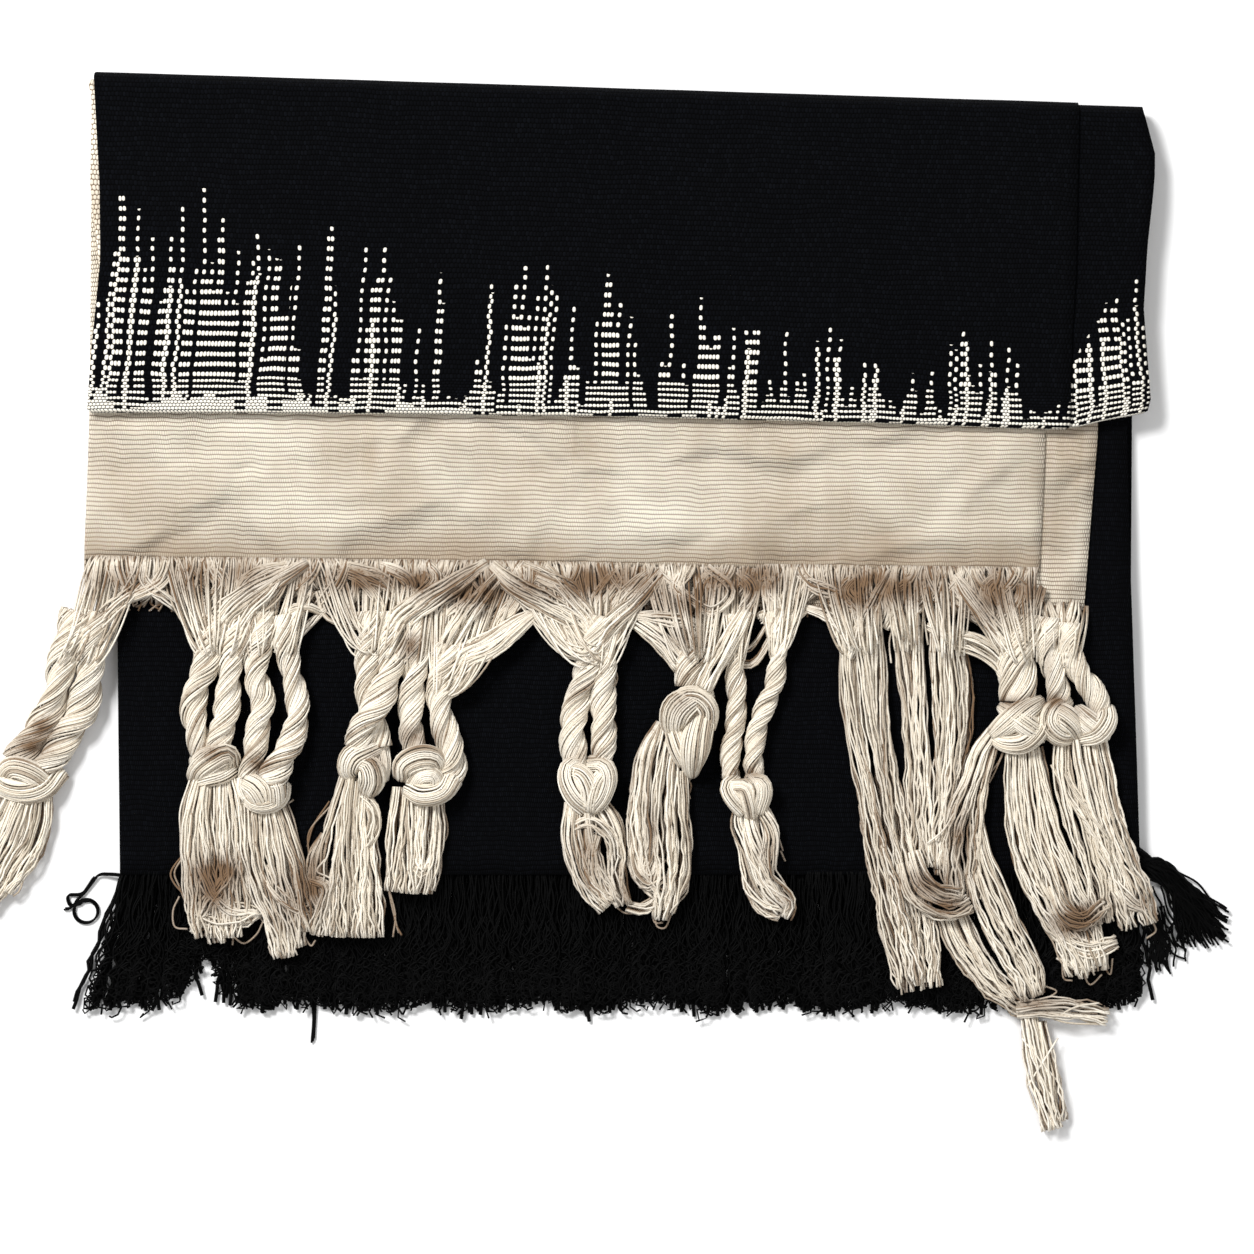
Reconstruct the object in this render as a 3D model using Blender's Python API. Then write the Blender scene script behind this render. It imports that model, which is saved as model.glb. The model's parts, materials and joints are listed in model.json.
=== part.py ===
"""A folded ikat table runner with twisted and knotted tassels.

One long cotton cloth is doubled lengthwise, so every pass of it is two plies, and is then folded
crosswise into a flat pack. Lengths are metres, +Z is up, and the origin is on the pack's underside.
"""
import math

import bmesh
import bpy
from mathutils import Matrix, Vector

MM = 0.001

# Cloth: thickness of one ply, and the air between neighbouring plies.
PLY_THICKNESS = 0.45 * MM
PLY_GAP = 0.30 * MM
PLY_PITCH = PLY_THICKNESS + PLY_GAP
LEVEL_PITCH = 2 * PLY_PITCH

# Crosswise folds and ends, measured on the line x = 0.
TOP_FOLD_Y = 131.5 * MM
FLAP_FOLD_Y = 54.0 * MM
BLACK_TURN_Y = -58.0 * MM
TOP_TURN_SETBACK = 2.0 * MM
CREAM_UPPER_END_Y = 15.2 * MM
CREAM_LOWER_END_Y = 5.5 * MM
BLACK_END_Y = -62.0 * MM
FOLD_FLATTENING = 0.75
ARC_STEPS = 8

# The pack leans: cross lines drop to the right, most at the top fold and not at all at the black end.
TOP_SLOPE = -0.031

# Left and right edges of the plies.
BLACK_LEFT = -127.2 * MM
BLACK_RIGHT = 127.0 * MM
BLACK_UNDER_RIGHT = 116.0 * MM
FLAP_LEFT = -133.0 * MM
FLAP_UPPER_RIGHT = 112.7 * MM
FLAP_LOWER_RIGHT = 131.2 * MM
CREAM_LEFT = -134.4 * MM
CREAM_UPPER_RIGHT = 104.0 * MM
CREAM_LOWER_RIGHT = 116.0 * MM

# Fringe of the black end, which falls from the cloth to the table.
FRINGE_LENGTH = 33.0 * MM
FRINGE_DROP = 10.0 * MM
FRINGE_END_HEIGHT = 2.0 * MM

# Heading of loose warp between the cream edge and the tassels, and the line the tassels lift about.
HEADING_END_Y = 0.5 * MM
HEADING_HEIGHT = 1.6 * MM
TASSEL_AXIS_Y = 0.0
ROPE_START_Y = -3.0 * MM
CLEARANCE = 0.3 * MM
SLOPING_CLEARANCE = 0.6 * MM

# Half height of the soft pieces, as they lie.
ROPE_HALF_HEIGHT = 2.6 * MM
TAIL_HALF_HEIGHT = 2.3 * MM

COLOURS = {
    "black_cotton": (0.004, 0.005, 0.007),
    "ikat_cotton": (0.08, 0.08, 0.085),
    "cream_cotton": (0.72, 0.60, 0.45),
    "black_fringe_yarn": (0.004, 0.004, 0.006),
    "cream_fringe_yarn": (0.78, 0.67, 0.52),
}
ROUGHNESS = 0.9

# Each tassel's pieces, in millimetres. Ropes and tails run through (x, y, half width); a knot is
# its middle and its three half sizes. The first rope points lie just below the lifting line.
TASSELS = {
    "tassel_01": {
        "rope_left": [(-140.2, -3, 2.8), (-142.7, -12, 2.7), (-145.4, -21, 2.5), (-153, -32, 2.5)],
        "rope_right": [(-133.5, -3, 2.8), (-134.5, -11, 2.7), (-137.8, -21, 2.6), (-145.2, -32, 2.5)],
        "knot": ((-149.2, -38.4), (7.6, 5.4, 4.6)),
        "tail": [(-150.5, -44.6, 5.4), (-152.5, -53, 5.6), (-158, -63, 5.2), (-161, -70, 3)],
    },
    "tassel_02": {
        "rope_left": [(-105.4, -3, 2.9), (-107, -10, 3), (-108.3, -20, 3), (-107, -28.9, 3)],
        "rope_right": [(-99, -3, 2.9), (-100, -10, 2.9), (-100.9, -20, 3), (-100.4, -28.9, 3)],
        "knot": ((-103.5, -34.8), (6.5, 5.2, 4.4)),
        "tail": [(-103.5, -40.6, 6), (-104, -50, 7.2), (-103.2, -64, 7.5), (-102.3, -77, 6.8)],
    },
    "tassel_03": {
        "rope_left": [(-92.4, -3, 2.9), (-93.4, -10, 3), (-92.4, -18, 3), (-94.4, -35.2, 3)],
        "rope_right": [(-85.2, -3, 3), (-84.9, -10, 3), (-83.2, -20, 3), (-87.6, -35.2, 3)],
        "knot": ((-91, -41.3), (6.4, 5.5, 4.6)),
        "tail": [(-90.6, -47.5, 5), (-88.8, -56, 6.2), (-86.3, -68, 5.6), (-84, -83, 3.2)],
    },
    "tassel_04": {
        "rope_left": [(-66.2, -3, 2.9), (-66.6, -10, 3), (-68, -20, 3), (-69.3, -28.4, 3)],
        "rope_right": [(-59.9, -3, 2.9), (-60.1, -10, 2.9), (-61.3, -20, 3), (-62.4, -28.4, 3)],
        "knot": ((-65.8, -35.6), (6.2, 6.5, 4.6)),
        "tail": [(-68, -43, 4.6), (-68.2, -50, 6), (-67.9, -62, 7.4), (-68, -77.5, 7)],
    },
    "tassel_05": {
        "rope_left": [(-53.4, -3, 2.9), (-53.7, -12, 3), (-54.4, -20, 3), (-53.9, -29, 3)],
        "rope_right": [(-45.6, -3, 3), (-46, -12, 3), (-46.9, -20, 3), (-46, -29, 3)],
        "knot": ((-49.8, -37.3), (7.9, 7.6, 4.8)),
        "tail": [(-52, -45.6, 6), (-53, -55, 6.6), (-54, -66, 4.8)],
    },
    "tassel_06": {
        "rope_left": [(-10.4, -3, 3), (-11.5, -12, 3), (-13.3, -20, 3), (-13.1, -31.8, 3)],
        "rope_right": [(-3.8, -3, 3), (-4.8, -12, 3), (-6.4, -20, 3), (-6.2, -31.8, 3)],
        "knot": ((-9.6, -40), (7.3, 7.6, 4.8)),
        "tail": [(-11, -48.4, 5), (-9.8, -55, 6.2), (-6.8, -64, 6), (-3.6, -70.5, 4)],
    },
    "tassel_07": {
        "rope": [(17, -3, 4.4), (17, -8, 4.2), (16.4, -13.4, 4)],
        "knot": ((15.4, -20.4), (7, 6.4, 5)),
        "tail_bend": [(16.4, -27.6, 3.4), (16.6, -32, 4), (15.8, -36.6, 2.6)],
        "tail": [(6, -26, 2.6), (6.2, -35, 4.6), (7.6, -45, 6.4), (8.4, -58, 6.6), (8.4, -73, 4.6)],
    },
    "tassel_08": {
        "rope_left": [(25.4, -3, 2.2), (27, -12, 2.2), (27.3, -20, 2.2), (26.7, -36, 2.2)],
        "rope_right": [(37.3, -3, 2.2), (37.1, -12, 2.2), (34.7, -20, 2.2), (32.8, -36, 2.2)],
        "knot": ((29.8, -42.7), (6.5, 6.2, 4.6)),
        "tail": [(31.6, -49.8, 3.5), (33.4, -56, 5), (34.4, -64, 5), (38.6, -72, 3.8)],
    },
    "tassel_09": {
        "hank_left": [(59, -3, 6.4), (60, -15, 6), (61.6, -30, 5.1), (64.4, -52, 4.7), (71.5, -92, 5)],
        "hank_middle": [(70.4, -3, 3.9), (70.8, -18, 3.8), (72.4, -38, 3.1), (73, -52, 2.8)],
        "hank_right": [(80.6, -3, 5.2), (81.4, -15, 5), (81.3, -27, 4.3), (79.6, -40, 3.3), (79.4, -52, 2.9)],
        "lock": ((78.6, -61.5), (6.2, 8.4, 3.4)),
        "side_lock": [(88.8, -33, 2.3), (87.2, -40, 2.8), (86.4, -48, 2.6)],
        "tail": [(86.8, -54, 3.4), (91.6, -65, 4.4), (97, -77, 4.6), (102.6, -90, 3.6)],
        "tip": [(101.4, -97.4, 3.6), (103.6, -108, 4.8), (106.5, -126.4, 3.8)],
    },
    "tassel_10": {
        "rope": [(97.3, -3, 4.8), (97.5, -10, 4.5), (97.4, -16.6, 4.2)],
        "knot": ((97.2, -24.2), (6.5, 6.6, 5)),
        "tail": [(100, -31.8, 4.4), (103.8, -45, 7.2), (107, -58, 8), (110.8, -71, 8.4), (114.5, -87.5, 4.6)],
    },
    "tassel_11": {
        "rope_left": [(105.8, -3, 2.7), (107, -10, 2.7), (109, -17.2, 2.7)],
        "rope_right": [(112.4, -3, 2.7), (114.6, -10, 2.7), (117.3, -17.2, 2.7)],
        "knot": ((113, -24.4), (8, 6.4, 4.8)),
        "tail": [(115.5, -31.8, 5.2), (118.4, -42, 5), (121.8, -54, 5.2), (126.8, -66, 5.2), (129.8, -76, 4)],
    },
}
# The first tassel hangs off the pack's left side, so its pieces sink towards the table.
SIDE_TASSEL = "tassel_01"
SIDE_TASSEL_LOW_Y = -22.0 * MM

# Loose corner of the black fringe, in millimetres: (x, y, half width).
CORNER_TUFT = [(131.4, -61, 2.4), (138, -66.5, 3.6), (147, -75, 4.6), (151, -79.5, 3)]
TUFT_HALF_HEIGHT = 1.8 * MM

ROPE_SIDES = 8
TAIL_SIDES = 10
STEPS_PER_SPAN = 2


def level_z(level):
    """Middle height of one doubled pass; the lowest ply's underside is at z = 0."""
    return (level + 0.5) * LEVEL_PITCH - PLY_GAP / 2


def level_top(level):
    return level_z(level) + PLY_PITCH / 2 + PLY_THICKNESS / 2


TABLE_SURFACE = 0.0
PACK_TOP = level_top(2)
ROPE_SURFACE = PACK_TOP + CLEARANCE
AXIS_Z = ROPE_SURFACE + ROPE_HALF_HEIGHT


def lean(point):
    """Shift a point in y for the pack's lean."""
    share = (point.y - BLACK_END_Y) / (TOP_FOLD_Y - BLACK_END_Y)
    point.y += TOP_SLOPE * share * point.x


def cloth_path(start_y, level, direction, turns, end_y, offset, flattening):
    """Points (y, z) of a ply that starts on a level, goes up one turn at a time, and ends at end_y.

    A turn is (y, how many levels it climbs). direction is +1 towards +Y. offset is the ply's
    distance from the middle of the pass, to the left of the way that it runs.
    """
    points = [(start_y, level_z(level) + direction * offset)]
    for turn_y, climb in turns:
        low, high = level_z(level), level_z(level + climb)
        middle, radius = (low + high) / 2, (high - low) / 2 - direction * offset
        for step in range(ARC_STEPS + 1):
            angle = math.pi * step / ARC_STEPS
            reach = direction * flattening * radius * math.sin(angle)
            points.append((turn_y + reach, middle - radius * math.cos(angle)))
        level += climb
        direction = -direction
    points.append((end_y, level_z(level) + direction * offset))
    # A turn that starts where the ply starts, or ends where it ends, would repeat that point.
    return [p for i, p in enumerate(points) if i == 0 or math.dist(p, points[i - 1]) > 1e-7]


def make_object(name, bm, slot, smooth):
    bmesh.ops.recalc_face_normals(bm, faces=bm.faces)
    mesh = bpy.data.meshes.new(name)
    bm.to_mesh(mesh)
    bm.free()
    mesh.materials.append(materials[slot])
    if smooth:
        mesh.shade_smooth()
    obj = bpy.data.objects.new(name, mesh)
    bpy.context.scene.collection.objects.link(obj)
    return obj


def hang_on_pivot(name, place, pieces):
    """Parent the pieces of a moving body to an empty on its joint's axis, leaving them in place."""
    pivot = bpy.data.objects.new(name, None)
    pivot.location = place
    bpy.context.scene.collection.objects.link(pivot)
    for piece in pieces:
        piece.parent = pivot
        piece.matrix_parent_inverse = Matrix.Translation(place).inverted()


def make_ply(name, slot, left, right, offset, start_y, level, direction, turns, end_y, flattening=1.0):
    """A sheet of cloth: its folded section, extruded from the left edge to the right edge."""
    outer = cloth_path(start_y, level, direction, turns, end_y, offset + PLY_THICKNESS / 2, flattening)
    inner = cloth_path(start_y, level, direction, turns, end_y, offset - PLY_THICKNESS / 2, flattening)
    bm = bmesh.new()
    section = [bm.verts.new((left, y, z)) for y, z in outer + inner[::-1]]
    face = bm.faces.new(section)
    extruded = bmesh.ops.extrude_face_region(bm, geom=[face])["geom"]
    moved = [item for item in extruded if isinstance(item, bmesh.types.BMVert)]
    bmesh.ops.translate(bm, verts=moved, vec=(right - left, 0, 0))
    for vert in bm.verts:
        lean(vert.co)
    return make_object(name, bm, slot, smooth=False)


def smooth_route(points, steps):
    """Catmull-Rom points through hand-chosen stations."""
    ends = [points[0] + (points[0] - points[1])] + points + [points[-1] + (points[-1] - points[-2])]
    route = []
    for i in range(1, len(ends) - 2):
        a, b, c, d = ends[i - 1:i + 3]
        for step in range(steps):
            t = step / steps
            route.append(0.5 * (2 * b + (c - a) * t + (2 * a - 5 * b + 4 * c - d) * t ** 2
                                + (3 * b - a - 3 * c + d) * t ** 3))
    return route + [ends[-2]]


def ring_matrix(route, index, half_height):
    """Place and size of the ring at one station: X across the piece, Y up."""
    before, after = route[max(index - 1, 0)], route[min(index + 1, len(route) - 1)]
    along = Vector((after[0] - before[0], after[1] - before[1], after[2] - before[2])).normalized()
    side = along.cross(Vector((0, 0, 1))).normalized()
    up = side.cross(along)
    x, y, z, half_width = route[index]
    frame = Matrix((side * half_width, up * half_height, -along * MM)).transposed().to_4x4()
    return Matrix.Translation((x, y, z)) @ frame


def make_loft(name, slot, stations, half_height, sides, rest):
    """A soft round piece: a ring extruded from station to station, closed at both ends.

    A station is (x, y, half width) in millimetres, and rest(y) is the height that the piece lies on.
    """
    smooth = smooth_route([Vector(station) * MM for station in stations], STEPS_PER_SPAN)
    route = [(x, y, rest(y) + half_height, half_width) for x, y, half_width in smooth]
    bm = bmesh.new()
    current = ring_matrix(route, 0, half_height)
    bmesh.ops.create_circle(bm, cap_ends=True, segments=sides, radius=1.0, matrix=current)
    bm.faces.ensure_lookup_table()
    face = bm.faces[0]
    for index in range(1, len(route)):
        extruded = bmesh.ops.extrude_face_region(bm, geom=[face])["geom"]
        if index > 1:
            bmesh.ops.delete(bm, geom=[face], context="FACES_ONLY")
        face = next(item for item in extruded if isinstance(item, bmesh.types.BMFace))
        following = ring_matrix(route, index, half_height)
        bmesh.ops.transform(bm, matrix=following @ current.inverted(), verts=list(face.verts))
        current = following
    return make_object(name, bm, slot, smooth=True)


def make_knot(name, slot, middle, half_sizes, surface):
    bm = bmesh.new()
    x, y = middle
    place = Matrix.Translation((x * MM, y * MM, surface + half_sizes[2] * MM))
    size = Matrix.Diagonal([half * MM for half in half_sizes]).to_4x4()
    bmesh.ops.create_uvsphere(bm, u_segments=14, v_segments=8, radius=1.0, matrix=place @ size)
    return make_object(name, bm, slot, smooth=True)


def fringe_top(y):
    """Height of the black fringe's upper side."""
    root, knee, tip = BLACK_END_Y, BLACK_END_Y - FRINGE_DROP, BLACK_END_Y - FRINGE_LENGTH
    knee_height = (PACK_TOP + FRINGE_END_HEIGHT) / 2 + CLEARANCE
    if y >= root:
        return PACK_TOP
    if y >= knee:
        return PACK_TOP + (knee_height - PACK_TOP) * (root - y) / FRINGE_DROP
    if y >= tip:
        return knee_height + (FRINGE_END_HEIGHT - knee_height) * (knee - y) / (knee - tip)
    return TABLE_SURFACE


def resting_surface(tassel, y):
    """Height that a tassel's piece lies on at a given y."""
    if tassel == SIDE_TASSEL:
        sunk = min(max((ROPE_START_Y - y) / (ROPE_START_Y - SIDE_TASSEL_LOW_Y), 0), 1)
        return ROPE_SURFACE + (TABLE_SURFACE + CLEARANCE - ROPE_SURFACE) * sunk
    return fringe_top(y) + (CLEARANCE if y > BLACK_END_Y else SLOPING_CLEARANCE)


def build_cloth():
    half = PLY_PITCH / 2
    top, seam = TOP_FOLD_Y - CLEARANCE, TOP_FOLD_Y
    turns = [(BLACK_TURN_Y, 1), (TOP_FOLD_Y - TOP_TURN_SETBACK, 1)]
    make_ply("black_run_wide_ply", "black_cotton", BLACK_LEFT, BLACK_RIGHT, -half, top, 0, -1, turns,
             BLACK_END_Y)
    make_ply("black_run_narrow_ply", "black_cotton", BLACK_LEFT, BLACK_UNDER_RIGHT, half, top, 0, -1,
             turns, BLACK_END_Y)
    make_ply("outer_fold_narrow_ply", "black_cotton", FLAP_LEFT, FLAP_UPPER_RIGHT, -half, seam, 0, 1,
             [(seam, 5)], seam, FOLD_FLATTENING)
    make_ply("outer_fold_wide_ply", "black_cotton", FLAP_LEFT, FLAP_LOWER_RIGHT, half, seam, 0, 1,
             [(seam, 5)], seam, FOLD_FLATTENING)
    narrow = make_ply("flap_narrow_ply", "ikat_cotton", FLAP_LEFT, FLAP_UPPER_RIGHT, half, top, 4, -1,
                      [(FLAP_FOLD_Y, 1)], top)
    wide = make_ply("flap_wide_ply", "ikat_cotton", FLAP_LEFT, FLAP_LOWER_RIGHT, -half, top, 4, -1,
                    [(FLAP_FOLD_Y, 1)], top)
    hang_on_pivot("flap_pivot", (0, TOP_FOLD_Y, (level_z(0) + level_z(5)) / 2), [narrow, wide])
    make_ply("inner_fold_narrow_ply", "cream_cotton", CREAM_LEFT, CREAM_UPPER_RIGHT, half, seam, 3, 1,
             [(seam, 1)], seam)
    make_ply("inner_fold_wide_ply", "cream_cotton", CREAM_LEFT, CREAM_LOWER_RIGHT, -half, seam, 3, 1,
             [(seam, 1)], seam)
    make_ply("cream_end_narrow_ply", "cream_cotton", CREAM_LEFT, CREAM_UPPER_RIGHT, -half, top, 3, -1,
             [], CREAM_UPPER_END_Y)
    make_ply("cream_end_wide_ply", "cream_cotton", CREAM_LEFT, CREAM_LOWER_RIGHT, half, top, 3, -1,
             [], CREAM_LOWER_END_Y)


def make_slab(name, slot, left, right, section):
    """A plain block with a given (y, z) section."""
    bm = bmesh.new()
    face = bm.faces.new([bm.verts.new((left, y, z)) for y, z in section])
    extruded = bmesh.ops.extrude_face_region(bm, geom=[face])["geom"]
    moved = [item for item in extruded if isinstance(item, bmesh.types.BMVert)]
    bmesh.ops.translate(bm, verts=moved, vec=(right - left, 0, 0))
    return make_object(name, bm, slot, smooth=False)


def build_fringes():
    root = BLACK_END_Y - CLEARANCE
    knee, tip = BLACK_END_Y - FRINGE_DROP, BLACK_END_Y - FRINGE_LENGTH
    section = [(root, level_z(2) - PLY_PITCH), (knee, TABLE_SURFACE), (tip, TABLE_SURFACE),
               (tip, FRINGE_END_HEIGHT), (knee, fringe_top(knee)), (root, fringe_top(root))]
    make_slab("black_fringe", "black_fringe_yarn", BLACK_LEFT, BLACK_RIGHT, section)
    make_loft("black_fringe_corner", "black_fringe_yarn", CORNER_TUFT, TUFT_HALF_HEIGHT, ROPE_SIDES,
              lambda y: TABLE_SURFACE)

    upper_low = level_top(2) + PLY_GAP + PLY_THICKNESS + CLEARANCE
    upper_root = CREAM_UPPER_END_Y + TOP_SLOPE / 2 * CREAM_UPPER_RIGHT - CLEARANCE
    section = [(HEADING_END_Y, upper_low), (upper_root, upper_low),
               (upper_root, upper_low + HEADING_HEIGHT / 2), (HEADING_END_Y, upper_low + HEADING_HEIGHT)]
    make_slab("cream_heading_narrow_ply", "cream_fringe_yarn", CREAM_LEFT, CREAM_UPPER_RIGHT, section)
    lower_low = level_top(2) + PLY_GAP
    lower_root = CREAM_LOWER_END_Y + TOP_SLOPE / 2 * CREAM_LOWER_RIGHT - CLEARANCE
    section = [(HEADING_END_Y, lower_low), (lower_root, lower_low),
               (lower_root, lower_low + PLY_THICKNESS), (HEADING_END_Y, lower_low + PLY_THICKNESS)]
    make_slab("cream_heading_wide_ply", "cream_fringe_yarn", CREAM_LEFT, CREAM_LOWER_RIGHT, section)


def build_tassel(tassel, pieces):
    made, root_xs = [], []
    for piece, shape in pieces.items():
        name = f"{tassel}_{piece}"
        if isinstance(shape, tuple):
            middle, half_sizes = shape
            low_edge = resting_surface(tassel, (middle[1] + half_sizes[1]) * MM)
            made.append(make_knot(name, "cream_fringe_yarn", middle, half_sizes, low_edge))
            continue
        is_rope = piece.startswith("rope")
        if shape[0][1] * MM == ROPE_START_Y:
            root_xs.append(shape[0][0] * MM)
        half_height = ROPE_HALF_HEIGHT if is_rope else TAIL_HALF_HEIGHT
        made.append(make_loft(name, "cream_fringe_yarn", shape, half_height,
                              ROPE_SIDES if is_rope else TAIL_SIDES, lambda y: resting_surface(tassel, y)))
    root_x = sum(root_xs) / len(root_xs)
    hang_on_pivot(f"{tassel}_pivot", (root_x, TASSEL_AXIS_Y, AXIS_Z), made)


for old in list(bpy.data.objects):
    bpy.data.objects.remove(old, do_unlink=True)

materials = {}
for slot_name, colour in COLOURS.items():
    material = bpy.data.materials.new(slot_name)
    material.use_nodes = True
    shader = material.node_tree.nodes["Principled BSDF"]
    shader.inputs["Base Color"].default_value = (*colour, 1.0)
    shader.inputs["Roughness"].default_value = ROUGHNESS
    shader.inputs["Metallic"].default_value = 0.0
    materials[slot_name] = material

build_cloth()
build_fringes()
for tassel_name, tassel_pieces in TASSELS.items():
    build_tassel(tassel_name, tassel_pieces)
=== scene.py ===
# %% [markdown]
# # A folded ikat table runner
# The real thing is one long hand-woven cotton cloth. It is doubled lengthwise, folded crosswise
# into a flat pack, and laid on a table. One end is black with a curled fringe, the other end is
# undyed cream, and its loose warp is twisted into ropes, knotted, and left to hang as tassels.
# The rigid frame gives the places, heights and joints, and everything seen here is built round it.

# %% Load the frame
import json
import math
from functools import partial

import bmesh
import bpy
import numpy as np
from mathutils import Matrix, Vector


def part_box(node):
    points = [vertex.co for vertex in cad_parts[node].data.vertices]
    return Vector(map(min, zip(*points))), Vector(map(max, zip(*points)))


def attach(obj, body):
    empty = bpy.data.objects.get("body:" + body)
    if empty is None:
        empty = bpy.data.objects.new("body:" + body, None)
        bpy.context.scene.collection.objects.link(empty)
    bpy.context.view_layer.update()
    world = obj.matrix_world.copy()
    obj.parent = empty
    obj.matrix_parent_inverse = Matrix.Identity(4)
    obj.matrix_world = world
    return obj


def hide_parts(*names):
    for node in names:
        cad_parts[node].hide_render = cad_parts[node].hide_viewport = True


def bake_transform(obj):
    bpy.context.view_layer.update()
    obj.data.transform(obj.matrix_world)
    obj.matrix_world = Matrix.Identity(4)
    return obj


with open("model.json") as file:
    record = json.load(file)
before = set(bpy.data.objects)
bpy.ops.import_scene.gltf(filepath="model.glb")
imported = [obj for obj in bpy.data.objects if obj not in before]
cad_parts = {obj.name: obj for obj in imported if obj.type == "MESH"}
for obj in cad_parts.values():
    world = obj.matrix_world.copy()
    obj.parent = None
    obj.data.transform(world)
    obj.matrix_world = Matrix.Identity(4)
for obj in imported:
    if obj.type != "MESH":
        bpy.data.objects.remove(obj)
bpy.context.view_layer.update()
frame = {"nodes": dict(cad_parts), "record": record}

MM = 0.001
joints = {joint["name"]: joint for joint in frame["record"]["behaviour"]["joints"]}

# %% [markdown]
# ## Camera, light and table
# The runner is laid on a white table and seen from straight above, so the camera hangs over the
# pack's middle. A big soft lamp from the upper left gives the ropes a lit side and a shaded side,
# and an even white sky fills the shadows, as a white studio tent does.

# %% Camera
VIEW_WIDTH = 313.5 * MM
CAMERA_HEIGHT = 1.3
SUBJECT_HEIGHT = 6.0 * MM
camera_data = bpy.data.cameras.new("camera")
camera_data.angle = 2 * math.atan(VIEW_WIDTH / 2 / (CAMERA_HEIGHT - SUBJECT_HEIGHT))
camera_data.clip_end = 20
camera = bpy.data.objects.new("camera", camera_data)
camera.location = (0, 0, CAMERA_HEIGHT)
bpy.context.scene.collection.objects.link(camera)
bpy.context.scene.camera = camera
print("field of view, degrees:", round(math.degrees(camera_data.angle), 2))

# %% Sky and lamps
scene = bpy.context.scene
scene.view_settings.view_transform = "Standard"
world = bpy.data.worlds.new("tent")
scene.world = world
world.use_nodes = True
background = world.node_tree.nodes["Background"]
background.inputs["Color"].default_value = (1, 1, 1, 1)
background.inputs["Strength"].default_value = 0.42


def add_lamp(name, place, size, power):
    lamp = bpy.data.lights.new(name, "AREA")
    lamp.size = size
    lamp.energy = power
    holder = bpy.data.objects.new(name, lamp)
    holder.location = place
    holder.rotation_euler = (-Vector(place)).to_track_quat("-Z", "Y").to_euler()
    scene.collection.objects.link(holder)


add_lamp("key_lamp", place=(-0.75, 0.85, 1.3), size=0.5, power=34)
add_lamp("fill_lamp", place=(0.9, -0.3, 1.6), size=1.2, power=6)

# %% Shader helpers


def feed(tree, socket, value):
    """Links a socket when the value is a socket too, and else sets it."""
    if isinstance(value, bpy.types.NodeSocket):
        tree.links.new(value, socket)
    else:
        socket.default_value = value


def add_node(tree, kind, **inputs):
    """A shader node whose inputs are given by name, or by number as i0, i1 and so on."""
    node = tree.nodes.new(kind)
    for key, value in inputs.items():
        by_number = key[0] == "i" and key[1:].isdigit()
        feed(tree, node.inputs[int(key[1:]) if by_number else key], value)
    return node


def calc(tree, operation, *values, clamp=False):
    """One Math node; gives its output socket."""
    node = add_node(tree, "ShaderNodeMath", **{f"i{n}": value for n, value in enumerate(values)})
    node.operation = operation
    node.use_clamp = clamp
    return node.outputs[0]


def vector_calc(tree, operation, one, two):
    """One Vector Math node; gives its output socket."""
    node = add_node(tree, "ShaderNodeVectorMath", i0=one, i1=two)
    node.operation = operation
    return node.outputs[0]


def mix_colour(tree, share, low, high):
    node = tree.nodes.new("ShaderNodeMix")
    node.data_type = "RGBA"
    for number, value in ((0, share), (6, low), (7, high)):
        feed(tree, node.inputs[number], value)
    return node.outputs[2]


def map_range(tree, value, from_low, from_high, to_low=0.0, to_high=1.0, smooth=False):
    node = tree.nodes.new("ShaderNodeMapRange")
    node.interpolation_type = "SMOOTHSTEP" if smooth else "LINEAR"
    tree.links.new(value, node.inputs[0])
    for socket, number in zip(node.inputs[1:5], (from_low, from_high, to_low, to_high)):
        socket.default_value = number
    return node.outputs[0]


def new_group(name, inputs, outputs):
    group = bpy.data.node_groups.new(name, "ShaderNodeTree")
    for title, kind in inputs:
        group.interface.new_socket(title, in_out="INPUT", socket_type=kind)
    for title, kind in outputs:
        group.interface.new_socket(title, in_out="OUTPUT", socket_type=kind)
    return group, group.nodes.new("NodeGroupInput"), group.nodes.new("NodeGroupOutput")


def use_group(tree, group, **inputs):
    node = tree.nodes.new("ShaderNodeGroup")
    node.node_tree = group
    for key, value in inputs.items():
        feed(tree, node.inputs[key.replace("_", " ")], value)
    return node


def new_material(name, roughness):
    material = bpy.data.materials.new(name)
    material.use_nodes = True
    shader = material.node_tree.nodes["Principled BSDF"]
    shader.inputs["Roughness"].default_value = roughness
    shader.inputs["Specular IOR Level"].default_value = 0.25
    return material, material.node_tree, shader


# %% Table top
TABLE_SIZE = 6
TABLE_DROP = 0.0002
bpy.ops.mesh.primitive_plane_add(size=TABLE_SIZE, location=(0, 0, -TABLE_DROP))
table_top = bpy.context.object
table_top.name = "table_top"
table_material, _, table_shader = new_material("white_table", 0.8)
table_shader.inputs["Base Color"].default_value = (0.93, 0.93, 0.93, 1)
table_top.data.materials.append(table_material)

# %% [markdown]
# ## The weave
# The cloth is warp-faced: the lengthwise threads are packed so tightly that they hide the weft.
# Each weft pick lifts every other warp thread, and the next pick lifts the ones between, so the
# surface is rows of short upright dashes, staggered by half a thread from row to row, with a
# fine rib along each pick. One node group works this out from the cloth's own UV map, which is
# in millimetres across and along the cloth, so the pattern follows each fold.

# %% Weave group
THREAD_PITCH = 0.93
PICK_PITCH = 1.22
CREAM_PICK_PITCH = 1.10
THREAD_WANDER = (2.4, 1.6, 0)


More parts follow.
